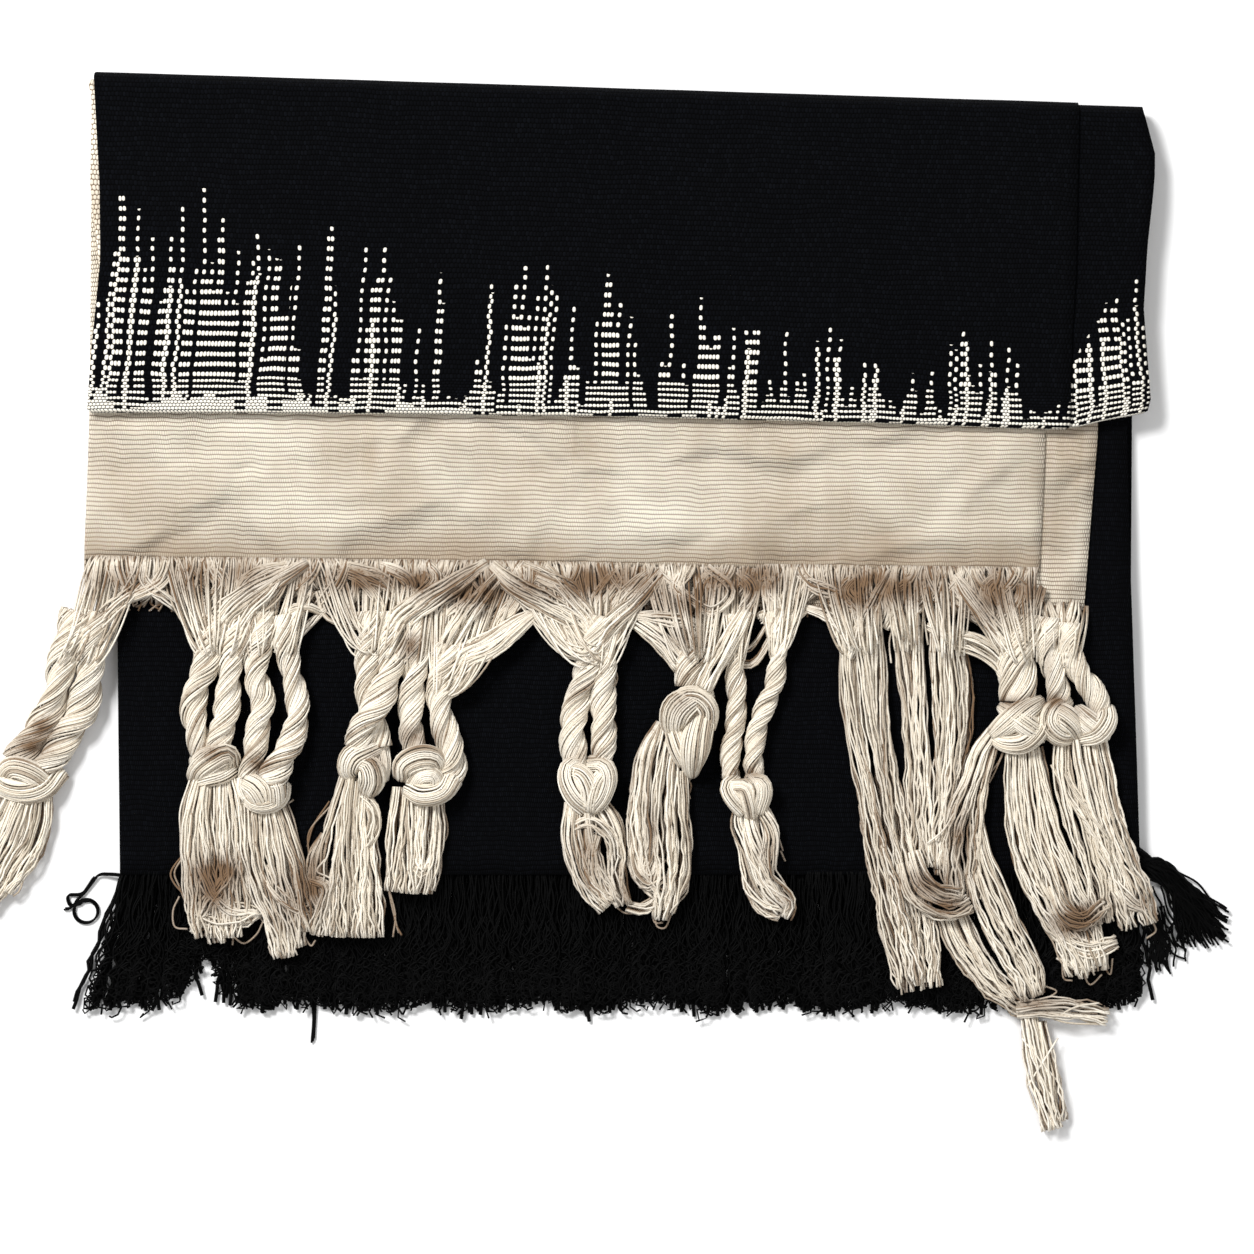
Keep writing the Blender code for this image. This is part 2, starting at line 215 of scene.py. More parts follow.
def build_weave_group():
    group, source, result = new_group(
        "warp_faced_weave",
        [("UV", "NodeSocketVector"), ("Pick pitch", "NodeSocketFloat")],
        [("Dash", "NodeSocketFloat"), ("Height", "NodeSocketFloat"), ("Thread", "NodeSocketFloat"),
         ("Shed", "NodeSocketFloat"), ("Pick", "NodeSocketFloat")])
    calc_here = partial(calc, group)
    uv = source.outputs["UV"]
    wobble = add_node(group, "ShaderNodeTexNoise", Vector=uv, Scale=0.09, Detail=2.0)
    shift = vector_calc(group, "SUBTRACT", wobble.outputs["Color"], (0.5, 0.5, 0.5))
    shift = vector_calc(group, "MULTIPLY", shift, THREAD_WANDER)
    split = add_node(group, "ShaderNodeSeparateXYZ", Vector=vector_calc(group, "ADD", uv, shift))
    along = calc_here("DIVIDE", split.outputs[1], source.outputs["Pick pitch"])
    pick = calc_here("FLOOR", along)
    shed = calc_here("FLOORED_MODULO", pick, 2.0)
    across = calc_here("ADD", calc_here("DIVIDE", split.outputs[0], THREAD_PITCH),
                       calc_here("MULTIPLY", shed, 0.5))
    column = calc_here("FLOOR", across)
    side = calc_here("ABSOLUTE", calc_here("SUBTRACT", calc_here("FRACT", across), 0.5))
    rise = calc_here("ABSOLUTE", calc_here("SUBTRACT", calc_here("FRACT", along), 0.5))
    width = calc_here("POWER", calc_here("MULTIPLY", side, 2.0), 2.2)
    length = calc_here("POWER", calc_here("MULTIPLY", rise, 2.0), 3.0)
    crown = calc_here("SUBTRACT", calc_here("SUBTRACT", 1.0, width), length)
    thread = calc_here("SUBTRACT", calc_here("MULTIPLY", column, 2.0), shed)
    dash = map_range(group, crown, 0.0, 0.5, smooth=True)
    height = calc_here("MAXIMUM", crown, -0.6)
    for title, value in (("Dash", dash), ("Height", height), ("Thread", thread), ("Shed", shed),
                         ("Pick", pick)):
        group.links.new(value, result.inputs[title])
    return group


weave_group = build_weave_group()

# %% [markdown]
# ## The ikat dye
# Ikat is dyed before it is woven: each warp thread is black up to a place of its own and bare
# from there on. Threads were tied in bunches for dyeing, so neighbours change together, and a
# few run far ahead as long spikes. The group gives each thread a start from random numbers that
# belong to the thread, its bunch and its place across the cloth.

# %% Dye group
FLAP_RUN = 90.5
CREAM_RUN = 118.3
# Neighbouring threads that share one random number: so many for each kind of number.
BUNCH, PAIR, SWAP = 8.0, 4.0, 44.0
LONGEST_SPIKE = 58.0
# How far spikes reach, and how many threads run ahead: (place across the cloth, share).
REACH_CURVE = [(0.0, 0.86), (0.08, 1.0), (0.2, 0.94), (0.3, 0.86), (0.42, 0.9), (0.55, 0.74),
               (0.7, 0.66), (0.84, 0.6), (0.89, 0.46), (0.911, 0.44), (0.925, 0.66), (1.0, 0.7)]
CROWD_CURVE = [(0.0, 0.86), (0.12, 0.84), (0.2, 0.62), (0.34, 0.45), (0.6, 0.4), (0.84, 0.3),
               (0.9, 0.32), (0.925, 0.8), (1.0, 0.85)]


def random_of(tree, value, seed):
    node = tree.nodes.new("ShaderNodeTexWhiteNoise")
    node.noise_dimensions = "2D"
    pair = add_node(tree, "ShaderNodeCombineXYZ", X=value, Y=seed)
    tree.links.new(pair.outputs[0], node.inputs["Vector"])
    return node.outputs["Value"]


def random_of_set(tree, thread, size, seed):
    """One random number for each set of neighbouring threads."""
    return random_of(tree, calc(tree, "FLOOR", calc(tree, "DIVIDE", thread, size)), seed)


def curve_over(tree, across, points):
    """A smooth curve through points, over the cloth's 270 mm."""
    node = add_node(tree, "ShaderNodeFloatCurve", Value=map_range(tree, across, 0, 270))
    curve = node.mapping.curves[0]
    curve.points[0].location, curve.points[1].location = points[0], points[-1]
    for point in points[1:-1]:
        curve.points.new(*point)
    node.mapping.update()
    return node.outputs[0]


def build_dye_group():
    group, source, result = new_group(
        "ikat_dye",
        [("UV", "NodeSocketVector"), ("Thread", "NodeSocketFloat"), ("Shed", "NodeSocketFloat")],
        [("Bare", "NodeSocketFloat")])
    split = add_node(group, "ShaderNodeSeparateXYZ", Vector=source.outputs["UV"])
    calc_here = partial(calc, group)
    across = calc_here("ABSOLUTE", split.outputs[0])
    longest = calc_here("MULTIPLY", curve_over(group, across, REACH_CURVE), LONGEST_SPIKE)
    crowd = curve_over(group, across, CROWD_CURVE)
    thread = source.outputs["Thread"]
    own = random_of(group, thread, 1.3)
    bunch = random_of_set(group, thread, BUNCH, 7.7)
    pair = random_of_set(group, thread, PAIR, 3.1)
    mixed = calc_here("ADD", calc_here("MULTIPLY", bunch, 0.6), calc_here("MULTIPLY", own, 0.4))
    leads = calc_here("LESS_THAN", mixed, crowd)
    there = calc_here("GREATER_THAN", random_of(group, thread, 6.6), 0.24)
    leads = calc_here("MULTIPLY", leads, there)
    luck = calc_here("ADD", calc_here("MULTIPLY", pair, 0.45), calc_here("MULTIPLY", own, 0.55))
    far = calc_here("MULTIPLY_ADD", calc_here("POWER", luck, 1.7), 0.68, 0.4)
    far = calc_here("MULTIPLY", far, longest)
    near = calc_here("MULTIPLY_ADD", calc_here("MULTIPLY", pair, own), 15.0, 2.4)
    reach = calc_here("ADD", calc_here("MULTIPLY", far, leads),
                      calc_here("MULTIPLY", near, calc_here("SUBTRACT", 1.0, leads)))
    swap = calc_here("GREATER_THAN", random_of_set(group, thread, SWAP, 4.1), 0.5)
    odd = calc_here("ABSOLUTE", calc_here("SUBTRACT", source.outputs["Shed"], swap))
    usual = calc_here("LESS_THAN", random_of(group, thread, 9.9), 0.82)
    short = map_range(group, across, 25, 110, 7.0, 1.2)
    short = calc_here("MULTIPLY", short, calc_here("POWER", bunch, 1.1))
    held = calc_here("MULTIPLY", odd, usual)
    reach = calc_here("ADD", calc_here("MULTIPLY", reach, calc_here("SUBTRACT", 1.0, held)),
                      calc_here("MULTIPLY", short, held))
    bare = calc_here("GREATER_THAN", split.outputs[1], calc_here("SUBTRACT", FLAP_RUN, reach))
    group.links.new(bare, result.inputs["Bare"])
    return group


dye_group = build_dye_group()

# %% Cloth materials
BLACK_THREAD = (0.0012, 0.0014, 0.0022, 1)
# Painted shade in the gaps between the warp dashes, for black and for cream cloth.
BLACK_GAP_SHADE = (0.0002, 0.0002, 0.0003, 1)
CREAM_THREAD = (0.93, 0.87, 0.74, 1)
CREAM_GAP_SHADE = (0.27, 0.20, 0.135, 1)
BARE_THREAD = (0.90, 0.86, 0.77, 1)
# Painted shade where the narrow ply bends down over its edge.
EDGE_SHADE_BROWN = (0.26, 0.18, 0.11, 1)
HEM_RUN = 9
HEM_CLOSENESS = 0.75
EDGE_SHADE_RUN = 11
PLAIN_THREAD_SHARE = 1.7


def cloth_material(name, kind):
    material, tree, shader = new_material(name, 0.92)
    calc_here = partial(calc, tree)
    uv_map = tree.nodes.new("ShaderNodeUVMap")
    uv_map.uv_map = "cloth_mm"
    uv = uv_map.outputs[0]
    pitch = CREAM_PICK_PITCH if kind == "cream" else PICK_PITCH
    if kind == "ikat":
        # The last rows before the hem were beaten closer.
        run = add_node(tree, "ShaderNodeSeparateXYZ", Vector=uv).outputs[1]
        past = calc_here("MAXIMUM", calc_here("SUBTRACT", run, FLAP_RUN - HEM_RUN), 0.0)
        extra = calc_here("MULTIPLY", past, HEM_CLOSENESS)
        extra = calc_here("MINIMUM", extra, HEM_RUN * HEM_CLOSENESS)
        push = add_node(tree, "ShaderNodeCombineXYZ", Y=extra)
        rows_uv = vector_calc(tree, "ADD", uv, push.outputs[0])
    else:
        rows_uv = vector_calc(tree, "MULTIPLY", uv, (PLAIN_THREAD_SHARE, 1, 1))
    weave = use_group(tree, weave_group, UV=rows_uv, Pick_pitch=pitch)
    dash, thread = weave.outputs["Dash"], weave.outputs["Thread"]
    own = random_of(tree, thread, 2.2)
    stitch = calc_here("ADD", calc_here("MULTIPLY", weave.outputs["Pick"], 7.13), thread)
    stitch = random_of(tree, stitch, 5.5)
    # Painted shade of soft creases, with some change of tone: large patches darken the cream
    # threads and the gaps between them.
    shade_and_tone_blot = add_node(tree, "ShaderNodeTexNoise", Vector=uv, Scale=0.03, Detail=3.0)
    shade_and_tone_blot = map_range(tree, shade_and_tone_blot.outputs["Fac"], 0.35, 0.65)
    cream = mix_colour(tree, shade_and_tone_blot, (0.58, 0.48, 0.36, 1), CREAM_THREAD)
    cream = mix_colour(tree, calc_here("MULTIPLY", own, 0.25), cream, (0.93, 0.87, 0.76, 1))
    cream_gap_shade = mix_colour(tree, shade_and_tone_blot, (0.17, 0.115, 0.07, 1), CREAM_GAP_SHADE)
    cream = mix_colour(tree, dash, cream_gap_shade, cream)
    if kind == "cream":
        # Painted shade on the last rows of the narrow ply, where the cloth bends down over its
        # edge.
        places = add_node(tree, "ShaderNodeSeparateXYZ", Vector=uv)
        last = map_range(tree, places.outputs[1], CREAM_RUN - EDGE_SHADE_RUN, CREAM_RUN, 0.0, 0.62,
                         smooth=True)
        last = calc_here("MULTIPLY", last, calc_here("LESS_THAN", places.outputs[0], 0.0))
        cream = mix_colour(tree, last, cream, EDGE_SHADE_BROWN)
    glint = calc_here("MULTIPLY", calc_here("POWER", stitch, 3.0), 0.5)
    black = mix_colour(tree, glint, BLACK_THREAD, (0.0040, 0.0048, 0.0070, 1))
    black = mix_colour(tree, dash, BLACK_GAP_SHADE, black)
    if kind == "black":
        colour = black
    elif kind == "cream":
        colour = cream
    else:
        dye = use_group(tree, dye_group, UV=uv, Thread=thread, Shed=weave.outputs["Shed"])
        bare = mix_colour(tree, calc_here("MULTIPLY", own, 0.5), BARE_THREAD, CREAM_THREAD)
        lit = calc_here("MULTIPLY", dye.outputs["Bare"], dash)
        colour = mix_colour(tree, lit, black, bare)
        split = add_node(tree, "ShaderNodeSeparateXYZ", Vector=uv)
        done = calc_here("GREATER_THAN", split.outputs[1], FLAP_RUN + 5)
        colour = mix_colour(tree, done, colour, cream)
    tree.links.new(colour, shader.inputs["Base Color"])
    bump = add_node(tree, "ShaderNodeBump", Height=weave.outputs["Height"], Strength=0.8,
                    Distance=0.00022)
    if kind == "cream":
        # Soft creases, longer across the cloth than along it.
        stretched = vector_calc(tree, "MULTIPLY", uv, (0.62, 1.0, 1.0))
        crease = add_node(tree, "ShaderNodeTexNoise", Vector=stretched, Scale=0.06, Detail=1.2,
                          Distortion=0.9)
        soft = add_node(tree, "ShaderNodeBump", Height=crease.outputs["Fac"], Strength=0.9,
                        Distance=0.0075)
        tree.links.new(soft.outputs[0], bump.inputs["Normal"])
    tree.links.new(bump.outputs[0], shader.inputs["Normal"])
    shader.inputs["Sheen Weight"].default_value = 0.1 if kind == "cream" else 0.0
    shader.inputs["Specular IOR Level"].default_value = 0.2 if kind == "cream" else 0.06
    return material


black_cloth = cloth_material("black_cloth", "black")
ikat_cloth = cloth_material("ikat_cloth", "ikat")
cream_cloth = cloth_material("cream_cloth", "cream")

# %% [markdown]
# ## The folded cloth
# A sheet that is doubled lengthwise and then folded crosswise is easiest to make flat: a grid is
# one piece of cloth, and each of its points is then carried to its place. Its row gives how far
# it is along the folded path, and its column gives the ply and how far it is across.

# %% Heights and cross lines, from the frame
narrow_low, narrow_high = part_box("cream_end_narrow_ply")
wide_low, wide_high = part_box("cream_end_wide_ply")
PLY_THICKNESS = narrow_high[2] - narrow_low[2]
PLY_PITCH = narrow_low[2] - wide_low[2]
LEVEL_PITCH = 2 * PLY_PITCH
PACK_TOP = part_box("black_run_wide_ply")[1][2]
FOLD_LINE_Y = joints["flap_fold"]["pos_m"][1]
FOLD_LINE_SLOPE = joints["flap_fold"]["axis"][1] / joints["flap_fold"]["axis"][0]
BLACK_END_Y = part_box("black_run_wide_ply")[0][1]
FLAP_FOLD_Y = 54.0 * MM
CREAM_NARROW_END_Y = 15.2 * MM
CREAM_WIDE_END_Y = 5.5 * MM
FOLD_FLATTENING = 0.75


def level_z(level):
    return (level + 0.5) * LEVEL_PITCH - (PLY_PITCH - PLY_THICKNESS) / 2


print("level heights, mm:", [round(level_z(n) / MM, 2) for n in range(6)])

# %% Edges of each pass
# Each edge is (y, x) in millimetres, from the fringed end up: left fold, narrow ply, wide ply.
EDGES = {
    2: ([(-62, -126.8), (7, -127.5), (60, -127.5)], [(-62, 116), (60, 116)],
        [(-62, 128.6), (-51, 128.2), (19, 126), (50, 125.2), (131, 125)]),
    3: ([(5, -135.6), (17, -135.5), (52, -134.2), (135, -133.6)],
        [(5, 103.2), (12, 103.3), (48, 104.6), (135, 105)],
        [(4, 114.2), (50, 117.8), (135, 118)]),
    4: ([(50, -132.6), (70, -131.4), (84, -131.2), (107, -134), (128, -133.6), (138, -135.8)],
        [(50, 108), (138, 108)], [(50, 126), (138, 126)]),
    5: ([(50, -134.8), (69, -133.3), (89, -131.2), (107, -131.5), (138, -133.2)],
        [(49, 110.6), (75, 111), (92, 112), (131, 112.8)],
        [(50, 129), (57, 130.8), (82, 129), (99, 130), (115, 131.7), (122, 131.9), (131, 129.5),
         (139, 127)]),
}
EDGES[1] = ([(-62, -126), (135, -126.5)], [(-62, 114), (135, 112)], [(-62, 126), (135, 125)])
EDGES[0] = ([(-62, -126), (90, -127), (131, -133.2)], [(-62, 114), (131, 112.8)],
            [(-62, 126), (100, 127), (131, 129.5)])


def edges_at(level, y):
    """Left fold, narrow and wide right edges of a pass, in metres."""
    sides = [np.interp(y / MM, *zip(*edge)) for edge in EDGES[level]]
    return np.stack(sides, axis=-1) * MM


def lean(x, y):
    """How far a line across the cloth drops to the right: most at the top fold, none at the end."""
    share = (y - BLACK_END_Y) / (FOLD_LINE_Y - BLACK_END_Y)
    return FOLD_LINE_SLOPE * share * x


def flap_hem_shift(x):
    """How far the flap's lower fold wanders from its straight line."""
    return np.interp(x / MM, [-134, -60, 0, 60, 100, 112, 119, 131],
                     [-2.0, -0.9, -0.5, -0.9, -1.6, -1.7, 0.2, 2.6]) * MM


def swell(x, y):
    """Soft unevenness of the stacked cloth, as a share of the stack's height."""
    a = np.sin(x * 31 + y * 17 + 0.6) * np.sin(y * 43 - x * 9 + 1.1)
    b = np.sin(x * 74 - y * 61 + 2.0) * np.sin(y * 88 + x * 25)
    c = np.sin(x * 190 + y * 95 + 1.3 * np.sin(y * 60) + 0.5) * np.sin(y * 70 - x * 38 + 2.1)
    return 0.055 * a + 0.03 * b + 0.045 * c


# %% Rows along the folded path


def folded_rows(start_y, level, direction, turns, end_y, step, arc_steps, flattening):
    """Rows along a pass and its turns.

    A row is y, z, normal y, normal z, run, level from, level to and the share between the two.
    """
    rows, run = [], 0.0

    def straight(y_from, y_to):
        nonlocal run
        count = max(2, int(abs(y_to - y_from) / step))
        for n in range(count):
            y = y_from + (y_to - y_from) * n / count
            rows.append((y, level_z(level), 0.0, float(direction), run + abs(y - y_from),
                         level, level, 0.0))
        run += abs(y_to - y_from)

    here = start_y
    for turn_y, climb in turns:
        straight(here, turn_y)
        low, high = level_z(level), level_z(level + climb)
        middle, radius = (low + high) / 2, (high - low) / 2
        way = 1.0 if climb > 0 else -1.0
        for n in range(arc_steps):
            angle = math.pi * n / arc_steps
            rows.append((turn_y + direction * flattening * abs(radius) * math.sin(angle),
                         middle - radius * math.cos(angle), -way * flattening * math.sin(angle),
                         direction * math.cos(angle), run + abs(radius) * angle,
                         level, level + climb, n / arc_steps))
        run += math.pi * abs(radius)
        level += climb
        direction = -direction
        here = turn_y
    straight(here, end_y)
    rows.append((end_y, level_z(level), 0.0, float(direction), run, level, level, 0.0))
    return np.array(rows)


# %% Sheet maker


def make_sheet(name, rows, columns, material, shape):
    """A doubled sheet. columns are distances across: below zero narrow ply, above zero wide ply."""
    bm = bmesh.new()
    bmesh.ops.create_grid(bm, x_segments=len(columns) - 1, y_segments=len(rows) - 1, size=1.0)
    mesh = bpy.data.meshes.new(name)
    bm.to_mesh(mesh)
    bm.free()
    flat = np.empty(len(mesh.vertices) * 3)
    mesh.vertices.foreach_get("co", flat)
    flat = flat.reshape(-1, 3)
    column = np.rint((flat[:, 0] + 1) / 2 * (len(columns) - 1)).astype(int)
    row = np.rint((flat[:, 1] + 1) / 2 * (len(rows) - 1)).astype(int)
    points, run = shape(rows[row], columns[column])
    mesh.vertices.foreach_set("co", points.ravel())
    layer = mesh.uv_layers.new(name="cloth_mm")
    corner = np.empty(len(mesh.loops), dtype=np.int32)
    mesh.loops.foreach_get("vertex_index", corner)
    uv = np.stack([columns[column] / MM, run / MM], axis=1)[corner]
    layer.data.foreach_set("uv", uv.ravel())
    mesh.materials.append(material)
    mesh.shade_smooth()
    obj = bpy.data.objects.new(name, mesh)
    scene.collection.objects.link(obj)
    wall = obj.modifiers.new("cloth_thickness", "SOLIDIFY")
    wall.thickness = PLY_THICKNESS
    wall.offset = 0
    print(name, len(rows), "rows", len(columns), "columns")
    return obj


NARROW_WIDTH = 246.0 * MM
WIDE_WIDTH = 264.0 * MM
HALF_PITCH = PLY_PITCH / 2
BEND = HALF_PITCH * math.pi / 2
PULL_SPAN = 20 * MM
HEM_TOP = 100 * MM
HEM_SPAN = 46 * MM


def across_columns(step):
    narrow = np.arange(-NARROW_WIDTH, -BEND - step / 2, step)
    bend = np.linspace(-BEND, BEND, 7)
    wide = np.arange(WIDE_WIDTH, BEND + step / 2, -step)[::-1]
    return np.concatenate([narrow, bend, wide])


def carry(rows, across, ply_side=1, hem=False, narrow_end=None):
    """Places of sheet points, from their rows and their distances across."""
    y, z, normal_y, normal_z, run, level_from, level_to, between = rows.T
    edges = np.empty((len(y), 3))
    for key in set(zip(level_from, level_to)):
        chosen = (level_from == key[0]) & (level_to == key[1])
        share = between[chosen, None]
        low, high = (edges_at(level, y[chosen]) for level in key)
        edges[chosen] = low * (1 - share) + high * share
    turn = np.clip(across / HALF_PITCH, -math.pi / 2, math.pi / 2)
    offset = -ply_side * HALF_PITCH * np.sin(turn)
    right = np.where(across < 0, edges[:, 1], edges[:, 2])
    full = np.where(across < 0, NARROW_WIDTH, WIDE_WIDTH) - BEND
    share = np.clip((np.abs(across) - BEND) / full, 0, 1)
    left = edges[:, 0] + HALF_PITCH * (1 - np.cos(turn))
    x = left + share * (right - edges[:, 0] - HALF_PITCH)
    run = run.copy()
    y = y.copy()
    if narrow_end is not None:
        short = narrow_end - rows[:, 0].min()
        pull = short * np.clip((narrow_end + PULL_SPAN - y) / (PULL_SPAN + short), 0, 1)
        pull = pull * np.clip(-turn / math.pi + 0.5, 0, 1)
        y += pull
        run -= pull
    y = y + offset * normal_y
    z = z + offset * normal_z
    bent = y + lean(x, y)
    if hem:
        near = np.clip((HEM_TOP - y) / HEM_SPAN, 0, 1) ** 1.5
        bent = bent + flap_hem_shift(x) * near
    z = z * (1 + swell(x, y))
    return np.stack([x, bent, z], axis=1), run


# %% Black passes
TOP_TURN_SETBACK = 2.0 * MM
BLACK_TURN_Y = -58.0 * MM
black_turns = [(BLACK_TURN_Y, 1), (FOLD_LINE_Y - TOP_TURN_SETBACK, 1)]
black_rows = folded_rows(FOLD_LINE_Y, 0, -1, black_turns, BLACK_END_Y, step=4.5 * MM, arc_steps=8,
                         flattening=1.0)
black_run = make_sheet("black_run", black_rows, across_columns(4.5 * MM), black_cloth, carry)
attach(black_run, "pack")
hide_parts("black_run_wide_ply", "black_run_narrow_ply")

# %% Flap, with the outer fold that it turns about
flap_rows = folded_rows(FOLD_LINE_Y, 0, 1, [(FOLD_LINE_Y, 5), (FLAP_FOLD_Y, -1)], FOLD_LINE_Y,
                        step=3.0 * MM, arc_steps=14, flattening=FOLD_FLATTENING)
flap_sheet = make_sheet("flap_cloth", flap_rows, across_columns(3.0 * MM), ikat_cloth,
                        partial(carry, ply_side=-1, hem=True))


def blend_across_fold(piece):
    """Bakes the piece's place into its mesh."""
    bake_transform(piece)


blend_across_fold(flap_sheet)
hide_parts("flap_narrow_ply", "flap_wide_ply", "outer_fold_narrow_ply",
            "outer_fold_wide_ply")

# %% Cream end, with the inner fold
cream_rows = folded_rows(FOLD_LINE_Y, 4, 1, [(FOLD_LINE_Y, -1)], CREAM_WIDE_END_Y, step=2.4 * MM,
                         arc_steps=8, flattening=1.0)[1:]
cream_sheet = make_sheet("cream_cloth", cream_rows, across_columns(3.0 * MM), cream_cloth,
                         partial(carry, ply_side=-1, narrow_end=CREAM_NARROW_END_Y))
blend_across_fold(cream_sheet)
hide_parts("cream_end_narrow_ply", "cream_end_wide_ply", "inner_fold_narrow_ply",
            "inner_fold_wide_ply")

# %% [markdown]
# ## Yarn
# Everything below is yarn: ropes, knots, tails, the loose warp that feeds them and the black
# fringe. A yarn is a curve with a round bevel, and hundreds of them in one curve object become one
# mesh. A bundle is a route with a width and a height, and yarns at set places in its section.

# %% Yarn tools
YARN_RADIUS = 0.25 * MM
CAP_MERGE = 1e-6
RING_VERTS = 4
WAVER_LENGTH = 14.0
draw = np.random.default_rng(11)


def phase():
    """A random place on a wave."""
    return draw.uniform(0, 6.3)


def sway(along, slow, fast):
    """A long wave along a yarn, with a rate and a phase of its own."""
    return np.sin(along * draw.uniform(slow, fast) + phase())


def smooth_line(points, per_span=8):
    """Catmull-Rom line through rows of numbers."""
    points = np.asarray(points, float)
    ends = np.vstack([2 * points[0] - points[1], points, 2 * points[-1] - points[-2]])
    out = []
    for n in range(1, len(ends) - 2):
        a, b, c, d = ends[n - 1:n + 3]
        t = (np.arange(per_span) / per_span)[:, None]
        out.append(0.5 * (2 * b + (c - a) * t + (2 * a - 5 * b + 4 * c - d) * t ** 2
                          + (3 * b - a - 3 * c + d) * t ** 3))
    return np.vstack(out + [ends[-2:-1]])


def even_line(line, step):
    """The same line, with its points evenly spaced, and the distance along it."""
    gaps = np.linalg.norm(np.diff(line[:, :3], axis=0), axis=1)
    along = np.concatenate([[0], np.cumsum(gaps)])
    count = max(3, int(round(along[-1] / step)) + 1)
    at = np.linspace(0, along[-1], count)
    return np.stack([np.interp(at, along, line[:, k]) for k in range(line.shape[1])], axis=1), at


def unit(vectors):
    return vectors / np.maximum(np.linalg.norm(vectors, axis=1, keepdims=True), 1e-12)


def bundle(stations, places, twist=0.0, step=1.3, waver=(0.0, 0.0), trim=0.0, shuffle=0.0):
    """Yarns along a route. A station is (x, y, z, half width, half height) in millimetres.

    Places are (across, up) in the route's own round section; twist is radians for each millimetre.
    """
    line, along = even_line(smooth_line(stations), step)
    centre = line[:, :3]
    tangent = unit(np.gradient(centre, axis=0))
    side = unit(np.cross(tangent, (0, 0, 1)))
    up = np.cross(side, tangent)
    grow = waver[0] + (waver[1] - waver[0]) * along / along[-1]
    yarns = []
    for across, high in places:
        radius = math.hypot(across, high) * (1 + shuffle * sway(along, 0.1, 0.35))
        angle = math.atan2(high, across) + twist * along + shuffle * sway(along, 0.1, 0.3)
        points = (centre + side * (line[:, 3] * radius * np.cos(angle))[:, None]
                  + up * (line[:, 4] * radius * np.sin(angle))[:, None])
        for direction, share in ((side, 1.0), (up, 0.45)):
            rate = 2 * math.pi / (WAVER_LENGTH * draw.uniform(0.6, 1.6))
            wave = np.sin(along * rate + phase())
            wave = wave + 0.5 * np.sin(along * rate * 2.3 + phase())
            points = points + direction * (wave * grow * share)[:, None]
        keep = len(points) - int(draw.uniform(0, trim) * len(points))
        yarns.append(points[:max(keep, 3)])
    return yarns


def rim(count):
    """Places round the outside of a bundle."""
    angles = 2 * math.pi * (np.arange(count) + draw.uniform(-0.3, 0.3, count)) / count
    return np.stack([np.cos(angles), np.sin(angles)], axis=1) * (1 - 0.1 * draw.random((count, 1)))


def two_strands(count):
    """Places round two strands laid together, with a groove at each side between them."""
    ring = rim(count)
    angles = np.arctan2(ring[:, 1], ring[:, 0])
    groove = np.exp(-(np.abs(np.sin(angles)) - 1) ** 2 / 0.03)
    return ring * (1.08 - 0.30 * groove)[:, None]


def filled(count):
    """Places all over a bundle's section, more of them near its outside."""
    radius = np.sqrt(draw.uniform(0.15, 1.0, count))
    angles = draw.uniform(0, 2 * math.pi, count)
    return np.stack([radius * np.cos(angles), radius * np.sin(angles)], axis=1)


# %% Surfaces that the tassels lie on
REST = PACK_TOP / MM + 0.15
FRINGE_REST = [(-200, 0.3), (-97, 0.5), (-95, 2.4), (-72, 3.8), (-62, REST), (200, REST)]
SIDE_REST = [(-200, 0.3), (-22, 0.3), (-3, REST), (200, REST)]


def rest_height(tassel, y):
    return np.interp(y, *zip(*(SIDE_REST if tassel == "tassel_01" else FRINGE_REST)))


# %% Painted shade and browned yarn
# Painted shade in deep places between and under the yarns, and partly yarn that lay folded
# under for long and is browner.
# Each place is (x, y, half width, half length, depth).
SHADE_AND_STAIN_PLACES = [
    (-103, -65, 8, 7, 1.0), (-100, -60, 7, 3, 0.5), (-84, -67, 6, 9, 0.6), (-78, -64, 4, 8, 0.7),
    (-52, -27.5, 6, 3, 0.9), (-9, -57, 5, 8, 0.7), (1, -66, 5, 5, 0.7), (6, -50, 2, 10, 0.5),
    (75, -64, 7, 4, 1.0), (80, -70, 7, 2.5, 0.9), (83, -52, 4, 10, 0.8), (64, -40, 3, 25, 0.35),
    (113, -72.5, 7, 3.5, 1.0), (103, -94.5, 9, 3, 0.9), (-150, -30, 6, 3.5, 1.0),
    (-146, -25, 3, 3, 0.8), (128, -69, 4, 3, 0.6), (107, -18.5, 3, 2, 0.9),
    (-92, -34, 3.5, 2.5, 0.9), (-104, -31, 5, 1.8, 0.6), (-62, -33, 2.5, 3, 0.5),
    (-10, -32, 6, 2, 0.6), (13, -19, 4, 4, 0.5), (31, -36.5, 5, 1.6, 0.8), (97, -19, 5, 2, 0.8),
    (113, -21, 5, 2, 0.6), (36, -55, 3, 8, 0.5), (40, -67, 2, 4, 0.6), (57, 8, 9, 5, 1.0),
    (95, 8, 12, 5, 0.8), (30, 12, 12, 3.5, 0.9), (12, 6, 8, 4, 0.9), (-62, 12, 14, 3, 0.9),
    (-36, 8, 12, 3.5, 0.8), (-10, 11, 12, 4, 0.7), (-92, 14, 10, 3, 0.5), (-104, 12, 6, 4, 0.35),
    (-127, 12, 6, 3, 0.6), (72, 9, 6, 5, 0.6), (88, 2, 6, 4, 0.5), (14, -3, 5, 3, 0.6),
    (-54, -5, 2.5, 4, 0.8), (110, -75, 5, 3, 0.6), (105, -10, 1.5, 5, 0.5),
]


